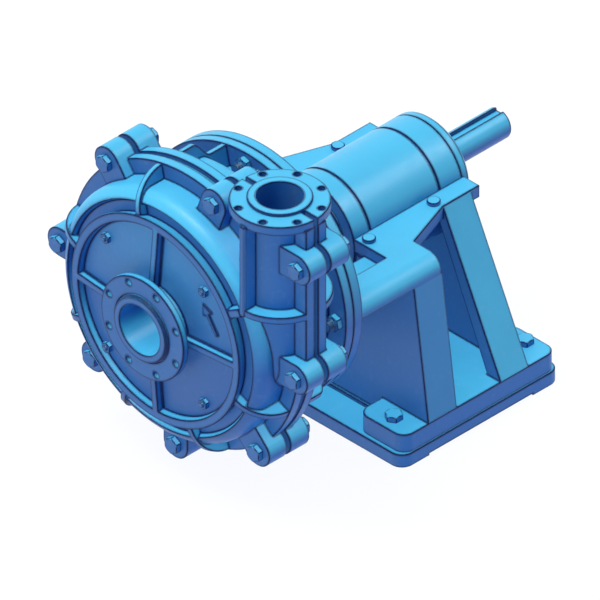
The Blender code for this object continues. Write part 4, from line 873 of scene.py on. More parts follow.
def front_ribs():
    """The bowed ribs from the cover's rim to its parting flange."""
    foot, tip = RIM_Y + SINK, FRONT_FACE_Y - PARTING_THICKNESS + SINK
    bow = arc((tip, RIM_OUTER_RADIUS), (foot - tip, PARTING_RADIUS - RIM_OUTER_RADIUS - 0.002), 0, 90, 16)
    outline = bow + [(tip, RIM_OUTER_RADIUS - 0.010), (foot, RIM_OUTER_RADIUS - 0.010)]
    return [edge_rib(angle, outline) for angle in RIB_ANGLES]


def rear_ribs():
    """The stepped ribs from the frame plate's parting flange back to its seat flange."""
    start, end = REAR_FACE_Y + PARTING_THICKNESS - SINK, REAR_FLANGE_Y + SINK
    high, low = PARTING_RADIUS - 0.0015, RING_RADIUS - 0.0015
    root = REAR_BARREL_RADIUS - 0.006
    crest_y, foot_y = REAR_FACE_Y + 0.048, PLATE_BACK_Y + 0.008
    slope = []
    for step in range(17):
        share = step / 16
        drop = (1 - math.cos(math.pi * share)) / 2
        slope.append((crest_y + (foot_y - crest_y) * share, high + (low - high) * drop))
    outline = [(start, root), (start, high)] + slope + [(end, low), (end, root)]
    return [edge_rib(angle, outline) for angle in RIB_ANGLES]


def neck_ledge(side):
    """A quarter disc round the neck, on the cover's side (-1) or the frame's (+1) of the joint."""
    joint = SPLIT_Y + side * SPLIT_SLOT / 2
    right = math.degrees(math.asin((SPLIT_SLOT / 2 + PARTING_THICKNESS) / LEDGE_RADIUS))
    sector = arc((DISCHARGE_X, SPLIT_Y), (LEDGE_RADIUS, side * LEDGE_RADIUS), 90, right)
    sector += [(sector[-1][0], joint + side * 0.010), (DISCHARGE_X, joint + side * 0.010)]
    return prism(sector, LEDGE_Z, LEDGE_Z + LEDGE_THICKNESS, "Z")


def neck_bars():
    """The cover's upright rib on the neck, and the short bar from it to the rim."""
    half = NECK_RIB_WIDTH / 2
    plan = rounded_rectangle(DISCHARGE_X - half, RIM_Y + 0.003, DISCHARGE_X + half,
                             SPLIT_Y - NECK_RADIUS + 0.016, NECK_RIB_ROUND)
    upright = prism(plan, LEDGE_Z, DISCHARGE_UNDER_Z + SINK, "Z")
    bar = block(RIM_OUTER_RADIUS - 0.006, NECK_BAR_END, RIM_Y + 0.002, RIM_GROOVE_Y + 0.002,
                -NECK_BAR_WIDTH / 2, NECK_BAR_WIDTH / 2)
    return [upright, spin_about_shaft(bar, NECK_BAR_ANGLE)]


def disc_surface(radius):
    """How far back the cover's shallow cone lies at a radius."""
    reach = RIM_INNER_RADIUS - 0.002
    return COVER_DISC_Y - DISC_CONE * (reach - radius) / (reach - SUCTION_NECK_RADIUS)


def cover_body():
    shoulder_end_y = COVER_DISC_Y + SHOULDER_DEPTH
    bore = NOZZLE_RADIUS + GAP
    profile = [
        (0.0, bore),
        (0.0, SUCTION_FLANGE_RADIUS),
        (SUCTION_FLANGE_THICKNESS, SUCTION_FLANGE_RADIUS),
        (SUCTION_FLANGE_THICKNESS, SUCTION_NECK_RADIUS),
        (disc_surface(SUCTION_NECK_RADIUS), SUCTION_NECK_RADIUS),
        (COVER_DISC_Y, RIM_INNER_RADIUS - 0.002),
        (RIM_Y, RIM_INNER_RADIUS),
        (RIM_Y, RIM_OUTER_RADIUS),
        (RIM_Y + RIM_LIP, RIM_OUTER_RADIUS),
        (RIM_GROOVE_Y, RIM_OUTER_RADIUS - RIM_UNDERCUT),
        (RIM_GROOVE_Y, SHOULDER_RADIUS + 0.010),
    ]
    profile += arc((shoulder_end_y, SHOULDER_RADIUS),
                   (COVER_DISC_Y - SHOULDER_STEP - shoulder_end_y, CASING_RADIUS - SHOULDER_RADIUS),
                   SHOULDER_START_DEGREES, 90, 14)
    profile += [(FRONT_FACE_Y, CASING_RADIUS), (FRONT_FACE_Y, CAVITY_RADIUS - 0.040),
                (COVER_INNER_Y + 0.010, CAVITY_RADIUS - 0.060), (COVER_INNER_Y + 0.010, bore)]
    return turned(profile, LARGE)


def disc_ribs():
    ribs = []
    start, end = SUCTION_NECK_RADIUS - 0.006, RIM_INNER_RADIUS + 0.005
    for angle in QUARTERS:
        for height, width in ((DISC_RIB_HEIGHT, DISC_RIB_WIDTH), (DISC_RIB_FILLET, DISC_RIB_FOOT)):
            outline = [(start, disc_surface(start) - height), (end, disc_surface(end) - height),
                       (end, COVER_DISC_Y + SINK), (start, COVER_DISC_Y + SINK)]
            ribs.append(spin_about_shaft(prism(outline, -width / 2, width / 2, "Z"), angle))
    return ribs


def rotation_arrow():
    """A raised plain arrow that shows which way the shaft turns."""
    tail, tip = Vector(ARROW_TAIL), Vector(ARROW_TIP)
    ahead = (tip - tail).normalized()
    across = Vector((-ahead.y, ahead.x))
    neck = tip - ahead * ARROW_HEAD_LENGTH
    points = [tail - across * ARROW_WIDTH / 2, neck - across * ARROW_WIDTH / 2]
    points += [neck - across * ARROW_HEAD_WIDTH / 2, tip, neck + across * ARROW_HEAD_WIDTH / 2]
    points += [neck + across * ARROW_WIDTH / 2, tail + across * ARROW_WIDTH / 2]
    outline = [(point.x, point.y) for point in points]
    return prism(outline, disc_surface(tip.length) - ARROW_HEIGHT, COVER_DISC_Y + SINK, edge=FASTENER_EDGE)


def make_cover_plate():
    body = cover_body()
    parts = [parting_plate(FRONT_FACE_Y - PARTING_THICKNESS, FRONT_FACE_Y, 0.0), casing_branch(-1)]
    parts += [prism(outline, FRONT_LUG_Y, FRONT_FACE_Y) for _, outline in lug_outlines()]
    parts += front_ribs() + disc_ribs() + [neck_ledge(-1)] + neck_bars() + [rotation_arrow()]
    fuse(body, *parts)
    cuts = [casing_cavity()]
    cuts += flange_holes((0.0, 0.0), SUCTION_BOLT_CIRCLE, SUCTION_HOLE_RADIUS, -RUN_PAST,
                         SUCTION_FLANGE_THICKNESS + 0.002, "Y")
    cuts += discharge_holes() + lug_bolt_holes(FRONT_LUG_Y, FRONT_FACE_Y)
    carve(body, *cuts)
    settle(body, "cover_plate_casting", "cover_plate", CASTING)


def make_frame_plate():
    profile = [(REAR_FACE_Y, 0.0), (REAR_FACE_Y, CASING_RADIUS)]
    profile += arc((PLATE_BACK_Y - REAR_SHOULDER, CASING_RADIUS - REAR_SHOULDER),
                   (REAR_SHOULDER, REAR_SHOULDER), 90, 0)
    profile += stairs(PLATE_BACK_Y, ((REAR_BARREL_RADIUS, REAR_FLANGE_Y), (RING_RADIUS, SEAT_Y - GAP)))
    profile += [(SEAT_Y - GAP, 0.0)]
    body = turned(profile, LARGE)
    parts = [parting_plate(REAR_FACE_Y, REAR_FACE_Y + PARTING_THICKNESS, 0.0), casing_branch(1)]
    parts += [prism(outline, REAR_FACE_Y, REAR_LUG_Y) for _, outline in lug_outlines()]
    parts += rear_ribs() + [neck_ledge(1)]
    fuse(body, *parts)
    cuts = [casing_cavity()]
    cuts += [drum(REAR_BARREL_RADIUS - REAR_BARREL_WALL, PLATE_BACK_Y, SEAT_Y + RUN_PAST)]
    cuts += [drum(BOX_RADIUS + GAP, PLATE_INNER_Y - RUN_PAST, SEAT_Y)]
    cuts += discharge_holes() + lug_bolt_holes(REAR_FACE_Y, REAR_LUG_Y)
    cuts += [rod(M20_RADIUS + GAP, REAR_FLANGE_Y - 0.03, SEAT_Y + RUN_PAST, place)
             for place in ring_stud_places()]
    carve(body, *cuts)
    settle(body, "frame_plate_casting", "frame_plate", CASTING)


def make_liners():
    front, back = COVER_INNER_Y + GAP, PLATE_INNER_Y - GAP
    body = turned(rounded_drum(front, back, LINER_RADIUS, CAVITY_ROUND - GAP), LARGE)
    branch = branch_shape(NECK_RADIUS - NECK_WALL - GAP, DISCHARGE_TOP_Z + DISCHARGE_RING_HEIGHT,
                          (DISCHARGE_RING_RADIUS, DISCHARGE_TOP_Z + GAP), EDGE)
    fuse(body, branch, parting_plate(FRONT_FACE_Y + GAP, REAR_FACE_Y - GAP, LINER_FLANGE_SETBACK))
    chamber = rounded_drum(CHAMBER_FRONT_Y, CHAMBER_BACK_Y, CHAMBER_RADIUS, CHAMBER_ROUND)
    cuts = [turned(chamber, LARGE, edge=0.0), drum(BUSH_RADIUS + GAP, front - RUN_PAST, back + RUN_PAST)]
    cuts += [branch_shape(DISCHARGE_BORE_RADIUS, DISCHARGE_TOP_Z + 0.02)]
    cuts += lug_bolt_holes(FRONT_FACE_Y, REAR_FACE_Y)
    carve(body, *cuts)
    settle(body, "volute_liner_iron", "volute_liner", BARREL)


def make_throatbush():
    """The front liner, whose nozzle stands a little proud of the flange with fine sealing rings."""
    front = COVER_INNER_Y + GAP
    profile = [(-NOZZLE_PROUD, SUCTION_BORE_RADIUS), (-NOZZLE_PROUD, NOZZLE_FACE_RADIUS)]
    for index in range(NOZZLE_GROOVES):
        share = (index + 0.5) / NOZZLE_GROOVES
        along = -NOZZLE_PROUD * (1 - share)
        radius = NOZZLE_FACE_RADIUS + (NOZZLE_RADIUS - NOZZLE_FACE_RADIUS) * share
        profile += [(along - 0.0006, radius), (along, radius - 0.0009), (along + 0.0006, radius + 0.0004)]
    profile += stairs(0.0, ((NOZZLE_RADIUS, front), (BUSH_RADIUS, CHAMBER_FRONT_Y)))
    profile += [(CHAMBER_FRONT_Y, SUCTION_BORE_RADIUS)]
    settle(turned(profile, LARGE, edge=0.0008), "throatbush_iron", "throatbush", BARREL)


def vane_outline():
    outer, inner = [], []
    start, end = EYE_RADIUS - 0.012, IMPELLER_RADIUS - 0.001
    for step in range(19):
        share = step / 18
        radius = start + (end - start) * share
        angle = math.radians(VANE_SWEEP) * (1.0 - share) ** 1.3
        half = VANE_THICKNESS / 2 / radius * (0.65 + 0.7 * share * (1.6 - share))
        outer.append((radius * math.cos(angle + half), radius * math.sin(angle + half)))
        inner.append((radius * math.cos(angle - half), radius * math.sin(angle - half)))
    return outer + inner[::-1]


def make_impeller():
    front, back = IMPELLER_FRONT_Y, IMPELLER_BACK_Y
    hub_end = SLEEVE_START_Y - GAP
    bore_start = hub_end - SHAFT_NOSE_LENGTH
    rear = [
        (bore_start - 1.4 * HUB_WALL, 0.0),
        (bore_start - 1.2 * HUB_WALL, SHAFT_NOSE_RADIUS / 2),
        (bore_start, SHAFT_NOSE_RADIUS + HUB_WALL),
        (back - SHROUD_THICKNESS, HUB_RADIUS + HUB_WALL),
        (back - SHROUD_THICKNESS, IMPELLER_RADIUS),
        (back, IMPELLER_RADIUS),
        (back, HUB_RADIUS),
        (hub_end, HUB_RADIUS),
        (hub_end, 0.0),
    ]
    body = turned(rear, MIDDLE)
    face = front + SHROUD_THICKNESS
    shroud = turned([(front, EYE_RADIUS), (front, IMPELLER_RADIUS), (face, IMPELLER_RADIUS),
                     (face, EYE_RADIUS + 0.010), (face - 0.006, EYE_RADIUS)], MIDDLE)
    vanes = [spin_about_shaft(prism(vane_outline(), front + SINK, back - SINK, edge=0.0),
                              360 * index / VANE_COUNT) for index in range(VANE_COUNT)]
    fuse(body, shroud, *vanes)
    carve(body, drum(SHAFT_NOSE_RADIUS + GAP, bore_start, hub_end + RUN_PAST, MIDDLE))
    settle(body, "impeller_iron", "impeller", BARREL, "rotor")


# Shaft, seal and bearing housing

def make_shaft():
    nose = SLEEVE_START_Y - SHAFT_NOSE_LENGTH
    profile = [(nose, 0.0)]
    profile += stairs(nose, ((SHAFT_NOSE_RADIUS, SLEEVE_START_Y),
                             (SHAFT_RADIUS, SHAFT_END_Y - SHAFT_CHAMFER)))
    profile += [(SHAFT_END_Y, SHAFT_RADIUS - SHAFT_CHAMFER), (SHAFT_END_Y, 0.0)]
    body = turned(profile, MIDDLE)
    slot = tongue((SHAFT_END_Y - KEYWAY_LENGTH, 0.0), KEYWAY_WIDTH / 2, 180, KEYWAY_LENGTH + RUN_PAST)
    outline = [(side, along) for along, side in slot]
    carve(body, prism(outline, SHAFT_RADIUS - KEYWAY_DEPTH, SHAFT_RADIUS + RUN_PAST, "Z", 0.0))
    settle(body, "shaft_bar", "shaft", BARREL, "rotor")
    start = SLEEVE_START_Y + GAP
    sleeve = ring_shape(SHAFT_RADIUS + GAP, SLEEVE_RADIUS, start, start + SLEEVE_LENGTH, MIDDLE)
    settle(sleeve, "sleeve_tube", "shaft_sleeve", BARREL, "rotor")


def make_stuffing_box():
    throat_end = BOX_START_Y + BOX_THROAT_LENGTH
    collar = PLATE_BACK_Y + GAP
    throat = HUB_RADIUS + THROAT_GAP
    profile = [(BOX_START_Y, throat)]
    profile += stairs(BOX_START_Y, ((BOX_RADIUS, collar), (BOX_COLLAR_RADIUS, collar + BOX_COLLAR_THICKNESS),
                                    (BOX_RADIUS, BOX_END_Y)))
    profile += [(BOX_END_Y, BOX_BORE_RADIUS), (throat_end, BOX_BORE_RADIUS), (throat_end, throat)]
    body = turned(profile, MIDDLE)
    carve(body, *[rod(GLAND_STUD_RADIUS + GAP, PLATE_BACK_Y - RUN_PAST, SEAT_Y, (side * GLAND_STUD_X, 0.0))
                  for side in SIDES])
    settle(body, "stuffing_box_casting", "stuffing_box", CASTING)


def make_gland():
    body = ring_shape(SLEEVE_RADIUS + THROAT_GAP, BOX_BORE_RADIUS - GAP, GLAND_START_Y,
                      GLAND_FLANGE_Y + SINK)
    middle = rod(GLAND_FLANGE_RADIUS, GLAND_FLANGE_Y, GLAND_BACK_Y, steps=MIDDLE, edge=EDGE)
    ears = []
    for side, angle in ((-1, 180), (1, 0)):
        outline = tongue((side * GLAND_STUD_X, 0.0), GLAND_EAR_RADIUS, angle, GLAND_STUD_X - 0.045)
        ears.append(prism(outline, GLAND_FLANGE_Y, GLAND_BACK_Y))
    fuse(body, middle, *ears)
    cuts = [drum(SLEEVE_RADIUS + THROAT_GAP, GLAND_START_Y - RUN_PAST, GLAND_BACK_Y + RUN_PAST, MIDDLE)]
    cuts += [hole(GLAND_STUD_RADIUS, GLAND_FLANGE_Y, GLAND_BACK_Y, (side * GLAND_STUD_X, 0.0))
             for side in SIDES]
    carve(body, *cuts)
    settle(body, "gland_follower_casting", "gland", CASTING, rides_on="gland_follower")


def make_bearing_housing():
    profile = [(HOUSING_START_Y, HOUSING_BORE_RADIUS), (HOUSING_START_Y, HOUSING_RADIUS)]
    for from_start in HOUSING_GROOVES:
        start = HOUSING_START_Y + from_start
        end = start + GROOVE_WIDTH
        bottom = HOUSING_RADIUS - GROOVE_DEPTH
        profile += [(start, HOUSING_RADIUS), (start, bottom), (end, bottom), (end, HOUSING_RADIUS)]
    profile += [(HOUSING_END_Y, HOUSING_RADIUS), (HOUSING_END_Y, HOUSING_BORE_RADIUS)]
    settle(turned(profile, HOUSING), "bearing_barrel", "bearing_housing", BARREL, rides_on="bearing_assembly")
    wet = ring_shape(COVER_SEAL_RADIUS, HOUSING_BORE_RADIUS - GAP, HOUSING_START_Y - WET_COVER_PROUD,
                     HOUSING_START_Y + WET_COVER_LENGTH - WET_COVER_PROUD, HOUSING)
    settle(wet, "wet_cover_disc", "wet_end_cover", BARREL, rides_on="bearing_assembly")
    spigot = DRIVE_COVER_Y - DRIVE_COVER_SPIGOT
    profile = [(spigot, COVER_SEAL_RADIUS)]
    profile += stairs(spigot, ((HOUSING_BORE_RADIUS - GAP, DRIVE_COVER_Y),
                               (HOUSING_RADIUS, DRIVE_COVER_END_Y - DRIVE_COVER_CHAMFER)))
    profile += [(DRIVE_COVER_END_Y, HOUSING_RADIUS - DRIVE_COVER_CHAMFER),
                (DRIVE_COVER_END_Y, COVER_SEAL_RADIUS)]
    drive = turned(profile, HOUSING, edge=0.0007)
    lug = prism(tongue((0.0, ADJUST_Z), ADJUST_LUG_HALF_WIDTH, 270, -ADJUST_Z - HOUSING_RADIUS + 0.012),
                ADJUST_LUG_Y, ADJUST_LUG_BACK_Y)
    fuse(drive, lug)
    carve(drive, hole(ADJUST_RADIUS, ADJUST_LUG_Y, ADJUST_LUG_BACK_Y, (0.0, ADJUST_Z)))
    settle(drive, "drive_cover_cap", "drive_end_cover", BARREL, rides_on="bearing_assembly")


# Bearing frame and sole plate

def leaning_wall(top_x, top_z, front, back, leg_depth, web_at_front):
    """A wall of the pedestal: a web between two leaning leg flanges."""
    foot_x = BASE_HALF_WIDTH - 0.001
    low = BASE_UNDER_Z + SINK
    outline = [(-foot_x, low), (foot_x, low), (foot_x, BASE_TOP_Z), (top_x, top_z),
               (-top_x, top_z), (-foot_x, BASE_TOP_Z)]
    web_span = (front, front + WALL_WEB) if web_at_front else (back - WALL_WEB, back)
    walls = [prism(outline, *web_span)]
    for side in SIDES:
        leg = [(side * foot_x, low), (side * foot_x, BASE_TOP_Z), (side * top_x, top_z),
               (side * (top_x - LEG_WIDTH), top_z), (side * (foot_x - LEG_WIDTH - 0.008), BASE_TOP_Z),
               (side * (foot_x - LEG_WIDTH - 0.008), low)]
        walls.append(prism(leg, front, front + leg_depth))
    return walls


def frame_arm(side):
    """The round-edged bar from the frame's ring to its platform, with the step inside it."""
    edge = arc((ARM_OUTER_X - ARM_ROUND, PLATFORM_Z - ARM_ROUND), (ARM_ROUND, ARM_ROUND), 90, 0, 14)
    outline = [(ARM_INNER_X, ARM_BOTTOM_Z), (ARM_INNER_X, PLATFORM_Z)] + edge
    outline += [(ARM_OUTER_X, ARM_BOTTOM_Z)]
    bar = prism([(side * x, z) for x, z in outline], SEAT_Y + 0.012, PLATFORM_START_Y + PLATFORM_WIDE_LENGTH)
    step = rectangle(LEDGE_INNER_X, ARM_LEDGE_BOTTOM_Z, ARM_INNER_X + SINK, ARM_LEDGE_TOP_Z)
    inner = prism([(side * x, z) for x, z in step], SEAT_Y + 0.014, FRONT_WALL_Y + 0.010)
    return [bar, inner]


def frame_platform():
    wide_y = PLATFORM_START_Y + PLATFORM_WIDE_LENGTH
    half = [(ARM_OUTER_X - ARM_ROUND, PLATFORM_START_Y), (ARM_OUTER_X - ARM_ROUND, wide_y - 0.0005),
            (ARM_INNER_X, wide_y - 0.0005), (PLATFORM_WAIST_X, REAR_WALL_Y),
            (PLATFORM_WAIST_X, PLATFORM_END_Y)]
    return prism(mirrored(half), PLATFORM_Z - PLATFORM_THICKNESS, PLATFORM_Z, "Z")


def frame_base():
    """The pedestal's base, with a rounded foot for each foot bolt."""
    both = (FOOT_ROUND, FOOT_ROUND)
    inner, outer = FOOT_INNER_X + FOOT_ROUND, BASE_HALF_WIDTH - FOOT_ROUND
    front, back = FOOT_FRONT_Y + FOOT_ROUND, FOOT_BACK_Y - FOOT_ROUND
    half = [(FOOT_INNER_X, BASE_FRONT_Y)]
    half += arc((inner, front), both, 180, 270) + arc((outer, front), both, 270, 360)
    half += arc((outer, back), both, 0, 90) + arc((inner, back), both, 90, 180)
    half += [(FOOT_INNER_X, BASE_BACK_Y)]
    return prism(mirrored(half), BASE_UNDER_Z, BASE_TOP_Z, "Z")


def make_bearing_frame():
    body = frame_base()
    parts = leaning_wall(ARM_OUTER_X - 0.0005, ARM_BOTTOM_Z + SINK, FRONT_WALL_Y,
                         FRONT_WALL_Y + LEG_DEPTH, LEG_DEPTH, True)
    parts += leaning_wall(REAR_TOP_X, PLATFORM_Z - 0.001, REAR_WALL_Y, REAR_WALL_BACK_Y,
                          REAR_WALL_DEPTH, False)
    saddle_radius = HOUSING_RADIUS + SADDLE_WALL
    saddle_outline = arc((0.0, 0.0), (saddle_radius, saddle_radius), 180, 360, 48)
    saddle_outline += [(saddle_radius, PLATFORM_Z / 2), (-saddle_radius, PLATFORM_Z / 2)]
    parts += [
        frame_platform(),
        block(-FOOT_INNER_X - 0.010, FOOT_INNER_X + 0.010, FRONT_WALL_Y - BASE_LIP_REACH,
              BASE_FRONT_Y + 0.010, BASE_UNDER_Z, BASE_UNDER_Z + BASE_LIP_HEIGHT),
        ring_shape(RING_BORE_RADIUS, RING_RADIUS, SEAT_Y, RING_BACK_Y, LARGE),
        prism(saddle_outline, PLATFORM_START_Y + 0.006, REAR_WALL_BACK_Y - SINK),
        block(-CHIN_THICKNESS / 2, CHIN_THICKNESS / 2, SEAT_Y + 0.012, FRONT_WALL_Y + 0.010,
              -RING_RADIUS + 0.012, -RING_BORE_RADIUS - SINK),
        block(-ADJUST_LUG_HALF_WIDTH, ADJUST_LUG_HALF_WIDTH, REAR_WALL_BACK_Y - 0.008, ADJUST_BOSS_Y,
              ADJUST_Z - ADJUST_LUG_HALF_WIDTH, ADJUST_Z + ADJUST_LUG_HALF_WIDTH),
    ]
    for side in SIDES:
        parts += frame_arm(side)
    fuse(body, *parts)
    cuts = [drum(HOUSING_RADIUS + GAP, PLATFORM_START_Y - 0.05, PLATFORM_END_Y + 0.05, HOUSING)]
    cuts += [cutting_block(-BASE_HALF_WIDTH + 0.040, BASE_HALF_WIDTH - 0.040, BASE_FRONT_Y + 0.045,
                           BASE_BACK_Y - 0.030, BASE_UNDER_Z - RUN_PAST, BASE_UNDER_Z + BASE_POCKET_DEPTH)]
    cuts += [rod(ADJUST_RADIUS + GAP, REAR_WALL_BACK_Y - 0.05, ADJUST_BOSS_Y + RUN_PAST, (0.0, ADJUST_Z))]
    for place in ring_stud_places():
        cuts.append(rod(M20_RADIUS + GAP, SEAT_Y - RUN_PAST, SEAT_Y + RING_STUD_DEPTH, place))
    for side in SIDES:
        for along in FOOT_BOLTS_Y:
            cuts.append(hole(M20_RADIUS, BASE_UNDER_Z, BASE_TOP_Z, (side * FOOT_BOLT_X, along), "Z"))
        for from_start in CLAMP_BOLT_INSET:
            cuts.append(rod(CLAMP_BOLT_RADIUS + GAP, PLATFORM_Z - 0.024, PLATFORM_Z + RUN_PAST,
                            (side * CLAMP_BOLT_X, PLATFORM_START_Y + from_start), "Z"))
    carve(body, *cuts)
    settle(body, "bearing_frame_casting", "bearing_frame", CASTING)


def make_sole_plate():
    front, back = FOOT_FRONT_Y - SOLE_OVERHANG, FOOT_BACK_Y + SOLE_OVERHANG
    outline = rounded_rectangle(-SOLE_HALF_WIDTH, front, SOLE_HALF_WIDTH, back, SOLE_ROUND)
    body = prism(outline, GROUND_Z, SOLE_TOP_Z, "Z", SOFT_EDGE)
    cuts = [cutting_block(-SOLE_HALF_WIDTH - RUN_PAST, SOLE_HALF_WIDTH + RUN_PAST, front + SOLE_PAD_LENGTH,
                          back - SOLE_PAD_LENGTH, GROUND_Z - RUN_PAST, SOLE_UNDER_Z)]
    cuts += [hole(M20_RADIUS, GROUND_Z, SOLE_TOP_Z, (side * FOOT_BOLT_X, along), "Z")
             for side in SIDES for along in FOOT_BOLTS_Y]
    carve(body, *cuts)
    settle(body, "sole_plate_casting", "sole_plate", CASTING)


# Fasteners

def hex_block(flats, start, end, crowned_low, crowned_high, axis="Y", turn=0, edge=FASTENER_EDGE):
    """A hexagon whose corners are turned off at one end or both."""
    body = prism(hexagon((0.0, 0.0), flats, turn), start, end, axis, edge)
    corner = flats / math.sqrt(3) + 0.001
    face = 0.475 * flats
    fall = (corner - face) * math.tan(math.radians(30))
    past = 0.001
    low_end = [(start, 0.0), (start, face), (start + fall, corner)]
    high_end = [(end - fall, corner), (end, face), (end, 0.0)]
    if not crowned_low:
        low_end = [(start - past, 0.0), (start - past, corner)]
    if not crowned_high:
        high_end = [(end + past, corner), (end + past, 0.0)]
    return keep_within(body, turned(low_end + high_end, 48, axis=axis, edge=0.0))


def threaded(radius, start, end, point_low=False, point_high=True, axis="Y"):
    """A thread shown as fine rings, with a pointed start where it ends free."""
    profile = [(start, 0.0), (start, radius - (2 * THREAD_DEPTH if point_low else 0.0))]
    count = max(2, round((end - start) / THREAD_PITCH))
    pitch = (end - start) / count
    for index in range(count):
        along = start + pitch * index
        profile += [(along + 0.30 * pitch, radius), (along + 0.45 * pitch, radius)]
        profile += [(along + 0.80 * pitch, radius - THREAD_DEPTH)]
    profile += [(end, radius - (1.6 * THREAD_DEPTH if point_high else 0.0)), (end, 0.0)]
    return turned(profile, 32, axis=axis, edge=0.0)


def make_cover_bolts():
    head_back = FRONT_LUG_Y - GAP
    nut_start = REAR_LUG_Y + GAP
    tail = nut_start + M20_NUT + STUD_TAIL / 2
    bolt = hex_block(M20_FLATS, head_back - M20_HEAD, head_back, True, False)
    fuse(bolt, rod(M20_RADIUS, head_back - SINK, nut_start + 0.002, steps=32),
         threaded(M20_RADIUS, nut_start, tail))
    nut = hex_block(M20_FLATS, nut_start, nut_start + M20_NUT, True, True)
    carve(nut, hole(M20_RADIUS, nut_start, tail, steps=32))
    places = [(place[0], 0.0, place[1]) for place, _ in lug_outlines()]
    copies(bolt, numbered("cover_bolt", len(places)), places, "pump_frame")
    copies(nut, numbered("cover_nut", len(places)), places, "pump_frame")


def make_frame_studs():
    """The studs that hold the frame plate's flange to the bearing frame's ring."""
    nut_end = REAR_FLANGE_Y - GAP
    nut_start = nut_end - ADJUST_NUT
    body = hex_block(M20_FLATS, nut_start, nut_end, True, True, turn=14)
    fuse(body, threaded(M20_RADIUS, nut_start - 0.014, nut_start + 0.002, True, False),
         rod(M20_RADIUS, nut_start, SEAT_Y + 0.016, steps=32))
    places = [(x, 0.0, z) for x, z in ring_stud_places()]
    copies(body, numbered("frame_stud"), places, "pump_frame")


def make_foot_bolts():
    under = BASE_TOP_Z + GAP
    body = hex_block(M20_FLATS, under, under + M20_HEAD, False, True, "Z")
    fuse(body, rod(M20_RADIUS, GROUND_Z + 0.004, under + SINK, axis="Z", steps=32))
    places = [(side * FOOT_BOLT_X, along, 0.0) for along in FOOT_BOLTS_Y for side in SIDES]
    copies(body, numbered("foot_bolt"), places, "pump_frame")


def make_clamp_bolts():
    under = PLATFORM_Z + GAP
    body = turned([(under, 0.0), (under, CLAMP_CAP_RADIUS), (under + CLAMP_CAP_HEIGHT, CLAMP_CAP_RADIUS),
                   (under + CLAMP_CAP_HEIGHT, 0.0)], 40, axis="Z", edge=0.0012)
    fuse(body, rod(CLAMP_BOLT_RADIUS, PLATFORM_Z - 0.023, under + 0.002, axis="Z"))
    places = [(side * CLAMP_BOLT_X, PLATFORM_START_Y + from_start, 0.0)
              for from_start in CLAMP_BOLT_INSET for side in SIDES]
    copies(body, numbered("clamp_bolt"), places, "pump_frame")


def make_gland_fasteners():
    for side, word in ((-1, "left"), (1, "right")):
        at = (side * GLAND_STUD_X, 0.0, 0.0)
        collar_back = PLATE_BACK_Y + GAP + BOX_COLLAR_THICKNESS
        end = GLAND_BACK_Y + GAP + ADJUST_NUT + GLAND_TRAVEL + STUD_TAIL
        stud = hex_block(ADJUST_FLATS, collar_back + GAP, collar_back + ADJUST_NUT, False, True)
        fuse(stud, rod(GLAND_STUD_RADIUS, PLATE_BACK_Y + 2 * GAP, GLAND_BACK_Y, steps=32),
             threaded(GLAND_STUD_RADIUS, GLAND_BACK_Y - 0.002, end))
        copies(stud, [f"gland_stud_{word}"], [at], "pump_frame")
        nut = hex_block(ADJUST_FLATS, GLAND_BACK_Y + GAP, GLAND_BACK_Y + ADJUST_NUT, True, True)
        carve(nut, rod(GLAND_STUD_RADIUS + GAP, GLAND_BACK_Y - RUN_PAST, end, steps=32))
        copies(nut, [f"gland_nut_{word}"], [at], "gland_follower")


def make_adjusting_screw():
    end = ADJUST_LUG_BACK_Y + ADJUST_NUT + 0.020
    at = [(0.0, 0.0, ADJUST_Z)]
    screw = threaded(ADJUST_RADIUS, ADJUST_BOSS_Y, end)
    fuse(screw, rod(ADJUST_RADIUS, REAR_WALL_BACK_Y - WALL_WEB - 0.010, ADJUST_BOSS_Y + 0.001, steps=32))
    copies(screw, ["adjusting_screw"], at, "pump_frame")
    nuts = (
        ("adjusting_nut_front", "front_nut", ADJUST_LUG_Y - GAP - ADJUST_NUT, ADJUST_LUG_Y - GAP),
        ("adjusting_nut_rear", "rear_nut", ADJUST_LUG_BACK_Y + GAP, ADJUST_LUG_BACK_Y + GAP + ADJUST_NUT),
    )
    for name, rides_on, start, stop in nuts:
        nut = hex_block(ADJUST_FLATS, start, stop, True, True)
        carve(nut, hole(ADJUST_RADIUS, start, stop, steps=32))
        copies(nut, [name], at, rides_on)


def make_disc_studs():
    """The small liner studs with nuts on the cover's disc."""
    nut_start = COVER_DISC_Y - DISC_NUT_HEIGHT
    body = hex_block(DISC_NUT_FLATS, nut_start, COVER_DISC_Y + 0.0005, True, False)
    fuse(body, threaded(DISC_STUD_RADIUS, nut_start - 0.004, nut_start + 0.002, True, False))
    places = [(x, 0.0, z) for x, z in DISC_STUD_PLACES]
    copies(body, numbered("liner_stud"), places, "pump_frame", stand=False)


def dress_hidden_nodes():
    """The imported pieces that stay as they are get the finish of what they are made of."""
    finishes = {"bearing_cup": STEEL, "bearing_cone": STEEL, "roller_cage": BRONZE, "lantern_ring": BRONZE,
                "packing_ring": FIBRE, "frame_plate_liner": MACHINED}
    for name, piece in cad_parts.items():
        for word, material in finishes.items():
            if word in name:
                piece.data.materials.clear()
                piece.data.materials.append(material)


# Stage

PIXEL = 0.00175
IMAGE_SIZE = 600
SUCTION_PIXEL = (142.1, 328.7)
CAMERA_DISTANCE = 4.0
SUNS = (("key", 0.5, 20, (-0.2, -0.3, 1.0)), ("fill", 2.7, 20, (-0.2, -0.45, 1.0)),
        ("sheen", 1.6, 30, (0.45, 0.41, 0.76)))
FLOOR_REACH = 6.0
FLOOR_GREY = (0.86, 0.88, 0.90, 1.0)
FLOOR_WHITE_SHARE = 0.72
SKY_BLUE = (0.86, 0.93, 1.0, 1.0)
SKY_STRENGTH = 0.45
WHITE = (1.0, 1.0, 1.0, 1.0)


